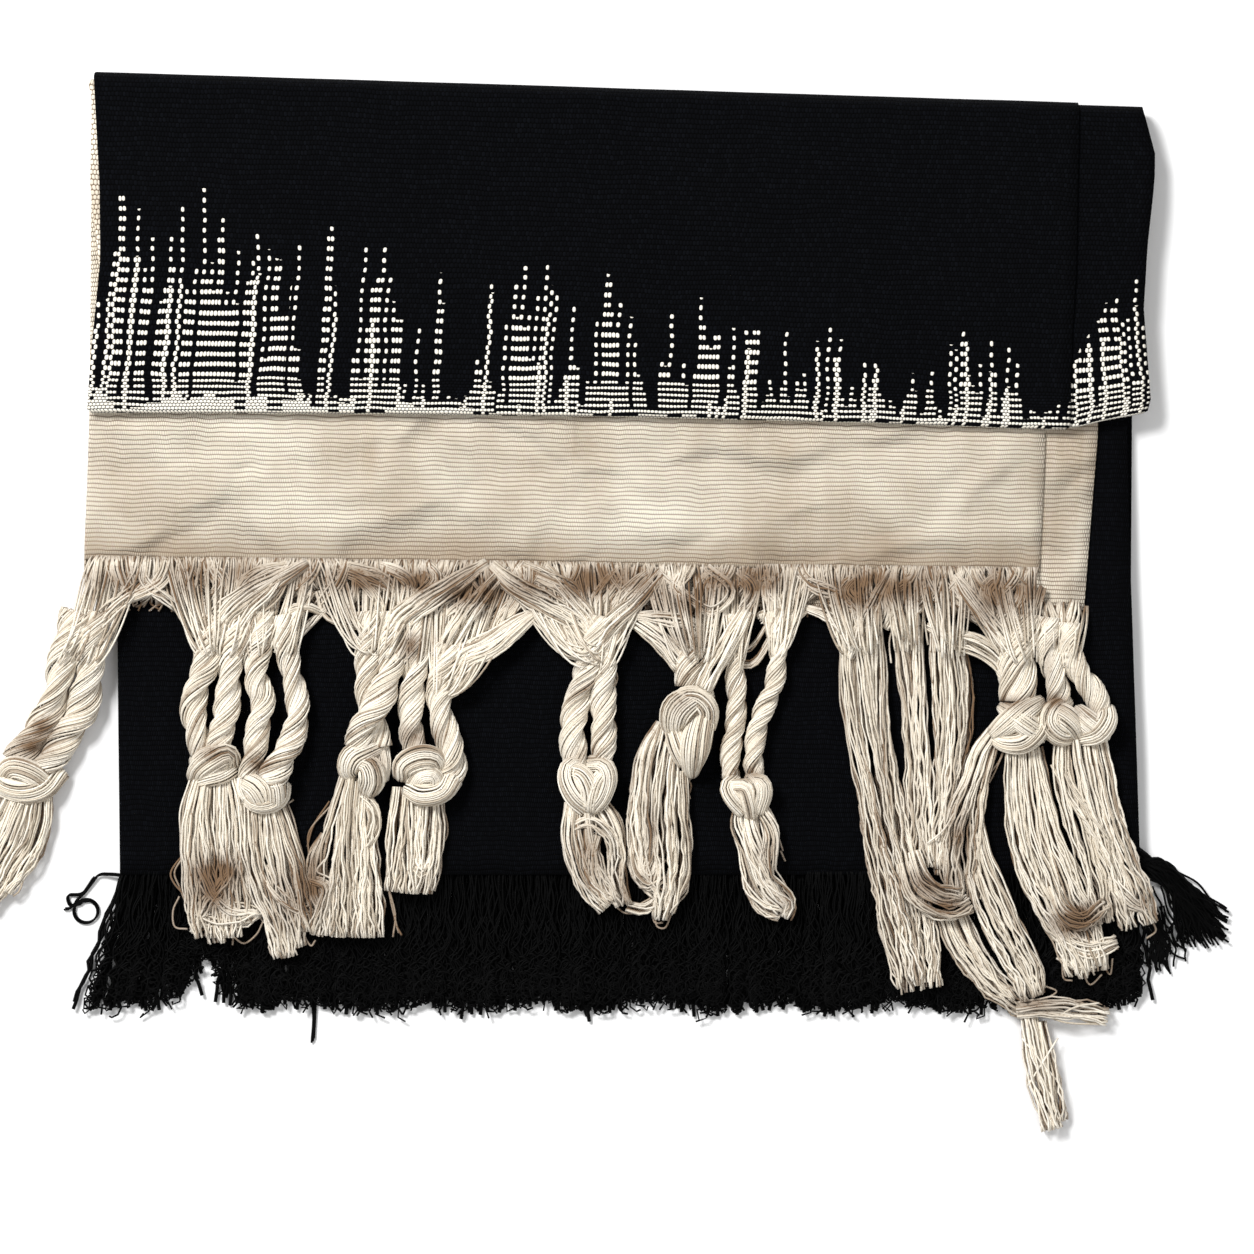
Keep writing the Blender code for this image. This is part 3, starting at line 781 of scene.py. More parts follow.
def painted_shade_and_stain(x, y):
    total = np.zeros(len(x))
    for mid_x, mid_y, wide, long, depth in SHADE_AND_STAIN_PLACES:
        total += depth * np.exp(-((x - mid_x) / wide) ** 2 - ((y - mid_y) / long) ** 2)
    # Painted shade over the whole heading, in patches.
    total += (0.38 + 0.24 * np.sin(0.31 * x + 1) * np.sin(0.13 * x)) * np.exp(-((y - 12) / 6) ** 2)
    return np.clip(total, 0, 1)


def yarn_mesh(name, yarns, material, body=None, radius=YARN_RADIUS):
    """One mesh of many yarns, given as point lists in millimetres, with its colour attributes."""
    curve = bpy.data.curves.new(name, "CURVE")
    curve.dimensions = "3D"
    curve.bevel_depth = radius
    curve.bevel_resolution = 0
    curve.use_fill_caps = True
    for points in yarns:
        spline = curve.splines.new("POLY")
        spline.points.add(len(points) - 1)
        flat = np.ones((len(points), 4))
        flat[:, :3] = np.asarray(points) * MM
        flat[:, 2] = np.maximum(flat[:, 2], radius)  # no yarn goes into the table
        spline.points.foreach_set("co", flat.ravel())
    holder = bpy.data.objects.new(name + "_curve", curve)
    mesh = bpy.data.meshes.new_from_object(holder)
    mesh.name = name
    places = np.empty(len(mesh.vertices) * 3)
    mesh.vertices.foreach_get("co", places)
    places = places.reshape(-1, 3) / MM
    # The new mesh holds the end caps first, last yarn's before the others', and then the tubes.
    shades = draw.random(len(yarns))
    caps = np.repeat(shades[::-1], 2 * RING_VERTS)
    tubes = np.repeat(shades, [len(points) * RING_VERTS for points in yarns])
    own = np.concatenate([caps, tubes])
    # Height above what the yarn lies on; the yarn material paints shade on low yarn from it.
    high = np.clip((places[:, 2] - rest_height(body, places[:, 1])) / 5.0, 0, 1)
    for title, values in (("yarn_shade", own), ("yarn_height", high),
                          ("yarn_shade_and_stain", painted_shade_and_stain(places[:, 0], places[:, 1]))):
        attribute = mesh.attributes.new(title, "FLOAT", "POINT")
        attribute.data.foreach_set("value", values.astype(np.float32))
    bpy.data.objects.remove(holder)
    bpy.data.curves.remove(curve)
    bm = bmesh.new()
    bm.from_mesh(mesh)
    bmesh.ops.remove_doubles(bm, verts=bm.verts, dist=CAP_MERGE)
    bm.to_mesh(mesh)
    bm.free()
    mesh.materials.clear()
    mesh.materials.append(material)
    mesh.shade_smooth()
    obj = bpy.data.objects.new(name, mesh)
    scene.collection.objects.link(obj)
    print(name, len(yarns), "yarns", len(mesh.polygons) * 2, "triangles")
    return obj


# %% Yarn materials


def read_attribute(tree, name):
    node = tree.nodes.new("ShaderNodeAttribute")
    node.attribute_name = name
    return node.outputs["Fac"]


def yarn_material(name, dark, light, brown, roughness):
    material, tree, shader = new_material(name, roughness)
    place = tree.nodes.new("ShaderNodeTexCoord").outputs["Object"]
    shade_and_tone_blot = add_node(tree, "ShaderNodeTexNoise", Vector=place, Scale=110.0, Detail=3.0)
    fleck = add_node(tree, "ShaderNodeTexNoise", Vector=place, Scale=1500.0, Detail=1.0)
    shade_and_tone_blot, fleck = shade_and_tone_blot.outputs["Fac"], fleck.outputs["Fac"]
    colour = mix_colour(tree, read_attribute(tree, "yarn_shade"), dark, light)
    # Painted shade: yarn low on what it lies on, and the shade and stain places, are mixed towards
    # brown.
    painted_low_shade = map_range(tree, read_attribute(tree, "yarn_height"), 0.66, 0.05, 0.0, 0.85, smooth=True)
    uneven = map_range(tree, shade_and_tone_blot, 0.25, 0.55, 0.6, 1.0)
    shade_and_stain_share = calc(tree, "MULTIPLY", read_attribute(tree, "yarn_shade_and_stain"), uneven)
    shade_and_stain_share = calc(tree, "MAXIMUM", shade_and_stain_share, painted_low_shade)
    # A random quarter of the yarns is painted darker, as shade in the gaps between yarns; the noise
    # patches and flecks add brown tone.
    shade = read_attribute(tree, "yarn_shade")
    for source, *span in ((shade, 0.24, 0.0, 0.0, 0.6), (shade_and_tone_blot, 0.56, 0.8, 0.0, 0.35),
                          (fleck, 0.58, 0.85, 0.0, 0.5)):
        shade_and_stain_share = calc(tree, "ADD", shade_and_stain_share, map_range(tree, source, *span), clamp=True)
    tree.links.new(mix_colour(tree, shade_and_stain_share, colour, brown), shader.inputs["Base Color"])
    bump = add_node(tree, "ShaderNodeBump", Height=fleck, Strength=0.5, Distance=0.0002)
    tree.links.new(bump.outputs[0], shader.inputs["Normal"])
    return material


cream_yarn = yarn_material("cream_yarn", (0.72, 0.64, 0.51, 1), (0.95, 0.89, 0.78, 1),
                           (0.19, 0.115, 0.062, 1), 0.85)
cream_yarn.node_tree.nodes["Principled BSDF"].inputs["Sheen Weight"].default_value = 0.1
black_yarn = yarn_material("black_yarn", (0.0004, 0.0004, 0.0005, 1), (0.0022, 0.0024, 0.0032, 1),
                           (0.001, 0.001, 0.001, 1), 0.6)
black_yarn.node_tree.nodes["Principled BSDF"].inputs["Specular IOR Level"].default_value = 0.06

# %% [markdown]
# ## The tassels
# Each tassel starts as warp ends that leave the cloth's edge and gather at a rope. The ropes go
# into a knot, and the loose ends hang below it in locks. Every tassel was worked by hand, so each
# has its own routes. They are in millimetres: (x, y, half width, extra height). Where a piece
# climbs over another it has extra height above what it lies on. In a knot the third number is
# the lobe's height above the rest, and the fourth is its radius.

# %% Routes of tassels 1 to 4
TASSELS = {}
TASSELS["tassel_01"] = dict(
    ropes=[
        [(-137.4, 4, 3.6, .4), (-139.4, -3, 3.8), (-141.6, -10, 3.3), (-143.8, -19, 3.1),
         (-148.4, -27, 3.5), (-153, -34, 3.8)],
        [(-132.6, 4, 3.4), (-134, -4, 3.3), (-134.6, -11, 3.5), (-136.4, -20, 3.7),
         (-141, -28, 3.6), (-146, -35.5, 3.6)]],
    fans=[(-134, -121, 1, .6), (-134, -128, 0, .2)],
    strands=[
        (22, [(-119, 13, 1, .4), (-124, 8, 1.8, 1.2), (-129, 4, 2.4, 1.6), (-133.5, -1, 2.6, .8)])],
    knot=[
        [(-142, -36, 2, 2.6), (-146, -40, 3.6, 3), (-151, -41, 3.8, 3), (-156, -39.5, 3.4, 2.8),
         (-159, -36, 2.4, 2.4)],
        [(-158, -38, 2.6, 2.4), (-154, -35, 4.6, 2.8), (-149, -36.5, 5.2, 2.8),
         (-145.5, -39.5, 3.6, 2.6)],
        [(-157, -41, 2, 1.8), (-151, -42.4, 2.6, 2), (-145, -41, 2.2, 1.8)]],
    locks=[
        [(-146.8, -41, 2.6), (-147.6, -50, 3.2), (-151, -58, 3.2), (-156, -66, 2.6)],
        [(-150.4, -42, 3), (-152, -51, 3.6), (-156.4, -61, 3.6), (-161, -70, 2.6)],
        [(-154, -42, 3), (-157, -50, 3.6), (-160, -59, 3), (-162, -66, 2.4)],
        [(-152, -44, 2.4, 1.4), (-155, -53, 3, 1.2), (-159, -62, 2.8, .6), (-162, -69, 2)]],
    strays=[])
TASSELS["tassel_02"] = dict(
    ropes=[
        [(-103, 3, 3, .8), (-104, -2, 3.3, .6), (-105.2, -9, 3.1), (-107.4, -15, 2.9),
         (-108.4, -21, 2.9), (-107.2, -27, 2.8), (-106.2, -32, 2.6)],
        [(-97.8, 3, 3, .4), (-98.4, -3, 3), (-99.2, -10, 2.8), (-99.7, -18, 2.9),
         (-100.9, -25, 3.0), (-103, -31, 2.6)]],
    fans=[(-117, -98, 0, .5), (-98, -85, 1, .0)],
    strands=[
        (40, [(-80, 16, 1.2, .5), (-87, 12, 2.4, 2.2), (-95, 7.5, 3, 3), (-101, 2.5, 3.2, 2.2),
              (-104.8, -4, 3, .6)]),
        (7, [(-117, 10, .5, .3), (-113.5, 5.4, .6), (-109, .4, .7), (-105.6, -2.6, .7)]),
        (16, [(-84, 16, 1, 1), (-88, 9, 2, 3.4), (-94, 3, 2.2, 3), (-98, -3, 2, 1)])],
    knot=[
        [(-108.4, -37.6, 1.5, 2), (-106.4, -35.2, 4, 2.7), (-102.6, -33, 5.2, 3),
         (-99.8, -32, 4.4, 2.8), (-98.8, -34.4, 2, 2.4)],
        [(-99, -35.5, 2.4, 2.4), (-101.5, -36.8, 4, 2.4), (-105, -37.6, 3.4, 2.2),
         (-107.6, -38.2, 1.6, 1.8)],
        [(-107.8, -34.4, 2, 2), (-106, -32.4, 3.8, 2.4), (-102.6, -31.4, 4, 2.2)]],
    locks=[
        [(-107, -38, 2.2), (-108.8, -47, 2.8), (-108.6, -58, 3), (-107.4, -68, 3),
         (-105.8, -77.5, 2.8)],
        [(-104.4, -38, 2.6), (-105.6, -47, 3.1), (-104.6, -58, 3.2), (-103.2, -68, 3),
         (-102, -79, 2.6)],
        [(-101.6, -38, 2.6), (-101.4, -47, 3), (-100.4, -58, 3), (-99.4, -68, 3.2),
         (-99, -77.5, 2.6)],
        [(-99.2, -38, 2.2), (-98.2, -46, 2.5), (-98, -56, 2.6), (-97, -65, 2.8), (-95.4, -74, 2.4)],
        [(-109, -55, 1.4, .4), (-105.6, -63, 2, 1.8), (-100, -70, 2, 2.2), (-92, -71.6, 1.2, 1.4)],
        [(-109, -71, .8, 1.6), (-104, -73.2, 1.4, 2.2), (-97, -73.6, 1.4, 2.2),
         (-91.4, -71.4, .8, 1.4)],
        [(-97, -56, 1.2, .6), (-101, -64, 1.8, 2), (-106, -71, 1.8, 1.8), (-108.6, -76, 1, .8)]],
    strays=[
        [(-106, -52, 2), (-110.6, -56.6, 1), (-114, -61, .2), (-113.4, -64, .2),
         (-110.4, -67.4, .6)],
        [(-107, -52, 2), (-111, -57.6, 1), (-113.2, -61.4, .2), (-112, -65, .2), (-110.4, -69, .6)],
        [(-112, -67.4, .3), (-113.6, -71, .2), (-113.2, -75, .2), (-110, -75.6, .5)],
        [(-99, -74, .6), (-98.6, -77, .3), (-98.8, -79.6, .2)],
        [(-99, -77, .6), (-96, -79.2, .2), (-92.8, -77, .2), (-91, -73.6, .8)]])
TASSELS["tassel_03"] = dict(
    ropes=[
        [(-91, 4, 3, .6), (-91.4, -3, 3), (-92.8, -9, 2.9), (-92.4, -14, 2.8), (-90.9, -18, 2.8),
         (-92, -24, 2.8), (-92.6, -29, 2.8), (-93.6, -35, 2.9), (-94, -38, 2.8)],
        [(-86.6, 3, 2.8), (-85.4, -3, 2.9), (-84.2, -10, 2.5), (-82.4, -18, 2.6), (-82.6, -25, 2.8),
         (-85, -31, 3, .8), (-88, -36.4, 3.3, 2.6), (-90, -38.6, 3, 3)]],
    fans=[(-97, -84, 0, .1), (-84, -77, 1, .7)],
    strands=[
        (9, [(-75.6, 4.4, .7, .3), (-78.6, 1.4, .9), (-81.4, -1.4, 1), (-84, -4, 1)]),
        (12, [(-79, 9, 1.2, .6), (-82, 4, 1.8, 1.4), (-84.6, -1, 2, 1), (-85, -6, 1.8, .4)])],
    knot=[
        [(-93.6, -36.4, 2.4, 2.2), (-95.4, -39.4, 3, 2.4), (-94.2, -42.6, 3, 2.4)],
        [(-95, -41.4, 2, 2.2), (-92.6, -43.6, 3.6, 2.6), (-89.4, -43.8, 4, 2.7),
         (-86.8, -42.4, 3.4, 2.4), (-86.2, -39.4, 2.4, 2.2)],
        [(-94.8, -38.6, 4.4, 2.4), (-92.4, -40.4, 5.2, 3), (-91, -43.6, 3.8, 2.6),
         (-90.6, -45.6, 2, 2)],
        [(-90.4, -37.4, 5.2, 2), (-88.4, -39.6, 5.6, 2.8), (-88.2, -42.8, 4.2, 2.8),
         (-88.8, -45.2, 2.2, 2)]],
    locks=[
        [(-94.2, -44.5, 1.9), (-93.8, -55, 2.5), (-92.4, -64, 2.8), (-89.4, -72, 2.6),
         (-86.6, -82.5, 1.9)],
        [(-91.6, -45, 2.3), (-91, -55, 2.8), (-89.2, -64, 3), (-86.8, -73, 2.8), (-84.6, -82.5, 2)],
        [(-89, -45, 2.3), (-87.4, -55, 3), (-85.8, -64, 3), (-83.8, -72, 2.8), (-82.2, -80, 2)],
        [(-86.6, -44.5, 1.9), (-84.2, -52, 2.4), (-82.2, -60, 2.6), (-80.9, -68, 2.6),
         (-80.2, -76, 2.2)],
        [(-91, -60, 1.4, .8), (-88, -66, 1.8, 1.8), (-83.6, -70, 1.8, 1.8), (-79.6, -71, 1.2, 1)]],
    strays=[
        [(-84.6, -44, .8), (-83.4, -43.2, .4)],
        [(-81, -77, .5), (-79.2, -79.8, .2), (-78, -78.4, .2)],
        [(-82, -62, 2), (-79, -67, 1.6), (-80, -74, .8)],
        [(-85, -69, 2.6), (-81.6, -66, 2.4), (-79.6, -60, 1.2)]])
TASSELS["tassel_04"] = dict(
    ropes=[
        [(-64.4, 4, 3), (-64, -2, 3.1), (-64.8, -9, 3), (-65, -16, 2.8), (-63, -23, 2.6),
         (-61.6, -30, 2.6)],
        [(-59.6, 4, 3.2, .4), (-59, -4, 3.2, .2), (-59.3, -11, 3.3, .8), (-61.6, -18, 3.3, 2.6),
         (-65.4, -24, 3.2, 2.8), (-67.6, -30, 2.9, 1.2)]],
    fans=[(-78, -71, 0, .9), (-66, -58, 0, .1), (-58, -44, 1, .1)],
    strands=[
        (42, [(-35, 16, 1.2, .5), (-43, 11, 2.4, 2.2), (-51, 6, 3, 3), (-57, 1.6, 3.2, 2.4),
              (-60, -5, 3.2, .8)]),
        (8, [(-77.4, 9, .8, .4), (-75.4, 3, .9), (-70, .4, .9), (-64.6, .2, .9, .4)]),
        (6, [(-73, 9.6, .6, .4), (-72, 4.6, .8), (-68, 2, .9), (-63, 2.6, .9, .6)]),
        (10, [(-72, 14, 1.4, .4), (-66, 11.4, 1.6, 1.6), (-62, 6, 1.8, 1.8), (-62, 0, 1.8, 1)])],
    knot=[
        [(-60.6, -29.6, 2, 1.8), (-64.6, -31, 4, 2.5), (-68, -32.4, 4.6, 3.2),
         (-69.6, -35, 3.6, 2.6), (-69.4, -37, 2, 2)],
        [(-66.4, -34, 3.2, 2.2), (-64.2, -35, 5, 2.9), (-63.6, -38, 5.2, 3.2),
         (-64.6, -40.6, 3.4, 2.6)],
        [(-61.4, -30.4, 2.4, 2), (-61, -34, 2.8, 2), (-61.6, -38, 2.2, 2)]],
    locks=[
        [(-69.6, -37, 1.9), (-72, -46, 2.4), (-74, -56, 3), (-75, -66, 3), (-75.4, -77, 2.8)],
        [(-68.4, -37.6, 2.1), (-69.8, -46, 2.6), (-70.6, -56, 3), (-71, -66, 3), (-71, -77.5, 2.8)],
        [(-67, -38.6, 2), (-67.4, -47, 2.4), (-67, -56, 3), (-66.8, -66, 3), (-66.6, -77.5, 2.8)],
        [(-66, -40, 1.8), (-65, -50, 2), (-64.4, -58, 2.4), (-63.6, -67, 2.6), (-63, -77.5, 2.4)],
        [(-66.6, -42, 1.4, .6), (-63.6, -45.4, 1.9, 1.4), (-63.1, -50, 2, 1.4),
         (-65.2, -54, 1.9, 1.2), (-68.4, -57, 1.4, 1)],
        [(-75.4, -52, 1.2), (-78.4, -58, 1.7), (-78.6, -66, 1.9), (-77, -73, 1.9),
         (-77.8, -77, 1.5)],
        [(-79.4, -63, 1, .8), (-75, -65, 1.4, 2), (-76.6, -71, 1.4, 2), (-79, -76.5, 1, .8)]],
    strays=[
        [(-74.4, -43.6, .5), (-78.4, -49.6, .2), (-80, -55, .2)],
        [(-74, -44.6, .6), (-79.4, -51, .2), (-79.6, -57, .3)],
        [(-75.4, -58, 2.6), (-77.4, -61, 2.8), (-74, -63, 2.8), (-74.6, -67, 2.6)]])

# %% Routes of tassels 5 to 8
TASSELS["tassel_05"] = dict(
    ropes=[
        [(-53, 2, 2.8), (-52.8, -6, 2.9), (-53.2, -13, 3), (-54, -20, 2.9), (-54, -26, 2.8),
         (-53, -30.4, 2.6)],
        [(-44.6, -4, 3.2, 1.2), (-46, -12, 3.2), (-47, -18, 3), (-46, -24, 3), (-44.2, -30, 3.1),
         (-43.4, -35, 3.2), (-45.6, -40, 3)]],
    fans=[(-58, -46, 0, .0), (-50, -24, 1, .4)],
    strands=[
        (48, [(-21.4, 4.4, .9, .4), (-27, .4, 2.6, 1.2), (-34, -4.4, 3.6, 1.8),
              (-41, -7.4, 3.2, 1.8), (-46, -12, 3, .6)]),
        (22, [(-30, 15, 1.2, .6), (-36, 8, 2.2, 2.4), (-42, 0, 2.6, 3), (-46.4, -8, 2.8, 1.8)])],
    knot=[
        [(-56.4, -37.4, 2.6, 2.2), (-55.2, -34.4, 4.4, 3.2), (-51.6, -33, 5.4, 3.6),
         (-48.4, -33.4, 4.6, 3.2), (-47.4, -35.6, 2.8, 2.4)],
        [(-53.6, -39.4, 3.6, 1.8), (-51.2, -37, 5.6, 2.2), (-48.4, -37, 5.6, 2.3),
         (-47.6, -39.6, 4.4, 2.2)],
        [(-43.6, -37.6, 3.6, 2.9), (-46.4, -41, 4.8, 2.9), (-51, -41.6, 4.8, 2.9),
         (-54.4, -40, 3.4, 2.4)]],
    locks=[
        [(-56.4, -40, 2.3), (-57, -50, 2.7), (-57.6, -58, 2.6), (-58, -66, 2.3)],
        [(-53.6, -42, 2.6), (-53.8, -50, 3), (-54, -58, 3), (-54.6, -66.5, 2.6)],
        [(-50, -43, 2.6), (-49.8, -51, 2.8), (-50.2, -59, 2.8), (-51.2, -66.5, 2.2)],
        [(-47.6, -43, 1.7), (-47.4, -51, 2), (-48.4, -60, 2), (-49.8, -65.5, 1.6)],
        [(-52.4, -47, 1.6, 1.6), (-53.4, -55, 1.6, 1.6), (-51, -61.6, 1.6, 1.4),
         (-48.4, -57, 1.2, 1)]],
    strays=[
        [(-46.6, -44, .8), (-45.2, -48, .3), (-45, -52, .3), (-47, -55.4, .6)],
        [(-46.8, -44, .6), (-45.6, -49, .3), (-46.4, -54, .5)],
        [(-59.8, -65, .4), (-58.8, -70, .2), (-57.2, -76.6, .2)],
        [(-59.4, -66, .4), (-58, -72, .2), (-58.6, -77.6, .2)],
        [(-58.2, -73, .2), (-57.6, -75, .2), (-56.4, -77.2, .2)],
        [(-49.6, -65, .4), (-48, -64.6, .2), (-48.2, -62.8, .3)]])
TASSELS["tassel_06"] = dict(
    ropes=[
        [(-7.4, 3, 3, 1.4), (-8.4, -4, 3.3, .9), (-9.8, -10, 3.1, .4), (-12, -17, 3),
         (-13.6, -24, 3), (-13.4, -30, 3), (-12.8, -35, 2.6)],
        [(-6, 2, 2.8), (-6, -5, 2.8), (-5.7, -12, 2.9), (-6, -19, 2.9), (-5.8, -26, 2.9),
         (-6.2, -33, 2.7)]],
    fans=[(-33, -12, 0, .7), (-12, 7, 1, .1)],
    strands=[
        (36, [(-34, 15.4, 1.4, .4), (-28, 10, 2.6, 2), (-20, 5.4, 3, 2.4), (-13, 1, 3, 1.6),
              (-9.5, -4, 2.8, .6)]),
        (26, [(9, 13.6, 1.4, .4), (3, 7, 2, 2), (-3, 2, 2.4, 3), (-7.4, -3, 2.6, 2.4),
              (-9.8, -8, 2.4, 1)]),
        (14, [(-20, 15, 1, .6), (-15, 9, 1.8, 2.4), (-10, 3, 2, 3), (-7, -3, 2, 2)]),
        (16, [(-4, -6, 1.2, 2.2), (-7.4, -7.6, 1.4, 3), (-11, -9.4, 1.2, 1.8)])],
    knot=[
        [(-10.6, -34.6, 2.6, 1.8), (-13.8, -34.8, 4.4, 2.5), (-14.4, -38, 4.6, 2.8),
         (-12.8, -42, 4.4, 2.8), (-10, -45, 3.2, 2.6)],
        [(-9.4, -34, 3, 1.8), (-6, -34.8, 4.8, 2.5), (-5.2, -38, 4.8, 2.7), (-6.8, -42, 4.4, 2.8),
         (-9.4, -45, 3.2, 2.6)],
        [(-14.4, -35.4, 5.2, 1.7), (-11.4, -36.6, 5.6, 2.1), (-9.6, -40, 5.8, 2.3),
         (-9.2, -44.6, 4.4, 2.2)],
        [(-3.6, -35.8, 4, 1.7), (-6.6, -37.8, 5.4, 2.1), (-8.4, -41.4, 5.4, 2.2),
         (-9.4, -45.4, 4, 2)]],
    locks=[
        [(-13.4, -44, 2.2), (-14, -51, 2.6), (-12.2, -59, 2.9), (-9.6, -65, 3), (-5, -70, 2.4)],
        [(-10.4, -46, 2.8), (-9.8, -55, 3.1), (-8, -62, 3.2), (-4, -69, 2.6)],
        [(-6.6, -44, 2, .4), (-3.4, -49, 2.2, .6), (-2.2, -55, 2.4), (-2.6, -62, 2.6),
         (-.8, -69.5, 2.3)],
        [(-13.6, -50, 1.4, 1.6), (-9, -48.6, 1.8, 2.2), (-4.4, -52, 2, 2), (-2.4, -58, 1.8, 1)],
        [(-7.6, -52, 1.4, 2), (-8.6, -58, 1.6, 2), (-6.6, -65, 1.6, 1.6), (-2, -69, 1.2, 1)]],
    strays=[
        [(-4.6, -11.4, 3), (-3, -11, 2), (-2.4, -13, 2), (-3.4, -14.8, 2), (-4.8, -13.6, 3)],
        [(-4.6, -10.6, 3), (-3.4, -12, 2.2), (-3, -13.8, 2), (-4.4, -14.8, 3)],
        [(-3, -69.8, .5), (-.4, -71.6, .2), (3, -71.2, .3), (4.6, -69, .6)]])
TASSELS["tassel_07"] = dict(
    ropes=[[(17, 2, 5.4, .4), (17, -3, 5.3, .4), (16.6, -9, 4.6), (16, -15, 3.6)]],
    fans=[(4, 27, 0, .7)],
    strands=[
        (26, [(-1, 3.6, 1.2, .5), (5, -.4, 2.4, 1), (10, -4.6, 2.6, 1.2), (13.6, -10, 2.4, .6)]),
        (20, [(2, 3, 1, 2), (9, 2, 1.8, 2.6), (16, .4, 2, 2.8), (19, -5, 2, 1.8)]),
        (26, [(30, 4, 1.8, 2), (26.6, -2, 2.4, 3), (22.6, -9, 2.5, 3.4), (19, -15.4, 2.4, 3.6)]),
        (10, [(20, 15, 1, .6), (26, 9, 1.2, 3), (21, 4, 1.4, 3.4), (15, 8, 1, 2.6),
              (8, 14, .8, 1)])],
    knot=[
        [(20.6, -16.8, 2.6, 2.2), (16.4, -18.4, 4.6, 3.4), (13, -20.6, 5.2, 4.2),
         (11.6, -23.4, 4, 3.4), (11.4, -26, 2.4, 2.4)],
        [(13.4, -20.2, 4, 1.8), (13.8, -17.6, 5.2, 2.3), (17.4, -17.6, 5.8, 2.6),
         (20, -20.8, 5.2, 2.7), (19.6, -25, 4, 2.6)],
        [(19.6, -21.4, 3.4, 2.8), (17.8, -26.4, 5.4, 3.7), (16.8, -30.6, 5.4, 3.8),
         (16.2, -34.4, 3.6, 2.6), (16, -36.8, 2, 1.6)],
        [(12, -25.4, 3.6, 2.6), (13.2, -30, 4.2, 2.8), (14.6, -34, 3.4, 2.2)]],
    locks=[
        [(8.4, -24, 1.8), (4.6, -31, 2.5), (2.6, -42, 2.6), (2.2, -52, 2.6), (3.4, -60, 1.9, .6),
         (6, -62.4, 1.7, .8), (8, -57.6, 1.4, .6)],
        [(9.6, -25, 2.2), (7, -34, 3), (5.6, -44, 2.8), (5.2, -54, 2.4), (5, -62, 2.2),
         (8.4, -67, 1.9)],
        [(11.4, -29, 2), (10, -38, 3), (9.2, -48, 3), (9.8, -58, 3), (9.2, -68, 2.6),
         (8.6, -73, 1.9)],
        [(12.8, -36, 2.2), (13, -46, 2.6), (13.5, -56, 2.7), (12.6, -64, 2.6), (10.4, -71, 1.9)],
        [(1.8, -50, 1.2, .4), (1.5, -59, 1.5, 1.2), (4.4, -64.6, 1.6, 1.6), (9, -62.4, 1.2, 1.2)],
        [(3.4, -54, .9, 1.6), (4.2, -60, .9, 2.2), (6.2, -57, .9, 1.8), (6, -48, .9, 1.4)],
        [(0, -69.6, 1.4, .2), (4, -70.4, 1.6, .6), (7.6, -68.6, 1.4, .8)]],
    strays=[
        [(7, -72.6, .3), (7.6, -75, .2), (9.6, -75.2, .2), (11, -72, .3)],
        [(6.4, -72, .3), (7, -74, .2), (9, -74, .2)],
        [(14.8, -37.6, .8), (16, -39.6, .4), (15.4, -42, .5)],
        [(16, -37.4, .8), (15, -40, .6), (15.8, -43, .4)]])
TASSELS["tassel_08"] = dict(
    ropes=[
        [(28, 3, 2.6), (27, -5, 2.4), (27, -12, 2.3), (27.5, -19, 2.3), (26.8, -26, 2.3),
         (25.6, -33, 2.3), (26, -37.6, 2)],
        [(35.6, 4, 2.6), (37.4, -2, 2.3), (37.6, -9, 2.2), (36.6, -15, 2.2), (34, -21, 2.3),
         (32, -28, 2.3), (31.6, -34, 2.3), (32.2, -37.6, 2)]],
    fans=[(22, 33, 0, .0), (33, 46.6, 1, .9)],
    strands=[
        (8, [(36, -2, .7, .4), (33.6, -7, .8), (30.6, -9.6, .9), (28, -8.6, .8, .4)]),
        (6, [(35, 0, .6, .4), (32.6, -4, .8), (30.4, -6, .9), (28, -6, .8, .4)]),
        (16, [(45, 4.6, .8, .4), (42, 2.4, 1.4, .8), (39, 0, 1.8, 1), (37.6, -4, 1.8, .6)])],
    knot=[
        [(27.4, -37.8, 3, 1.7), (25.4, -39.8, 4, 2.1), (26.4, -42.6, 4.2, 2.2),
         (29, -46, 3.4, 2.1)],
        [(30, -38.2, 3.2, 1.7), (33.4, -38.8, 4.4, 2.1), (34, -41.6, 4.2, 2.2),
         (32.4, -46, 3.4, 2.1)],
        [(26, -39.8, 4.8, 1.8), (29.4, -40.2, 5.2, 2), (30.6, -44, 4.6, 2.1),
         (31, -47.4, 3.4, 1.7)],
        [(30.2, -37.8, 4, 1.6), (31.8, -40.6, 5.2, 1.9), (31.2, -44.4, 4.6, 2)]],
    locks=[
        [(28.4, -45.4, 1.7), (27.8, -49.6, 2.1), (29.6, -55, 2.5), (30.6, -60, 2.9, .3),
         (31.6, -65, 2.8), (34.6, -69.4, 2.4), (38.6, -71.4, 1.9)],
        [(33.2, -45, 1.7, .4), (36, -51, 2.3, 1.2), (35.2, -57, 2.6, 1.8), (34.8, -62, 2.6, 1),
         (38, -65.4, 2.3, .5), (40.8, -69, 1.9, .5), (39.4, -72.4, 1.4)],
        [(30.8, -47, 1.8, .4), (31.4, -53, 2.5, 1), (33, -60, 2.8, .6), (35.4, -66, 2.6, .6),
         (38.8, -70.4, 1.9)]],
    strays=[
        [(38, -53, .6), (39, -56, .3)],
        [(38.4, -56, .6), (39.6, -58.6, .3)],
        [(29, -63, .6), (30.6, -67.4, .2), (34.6, -70.4, .2)]],
    lock_twist=0.09)

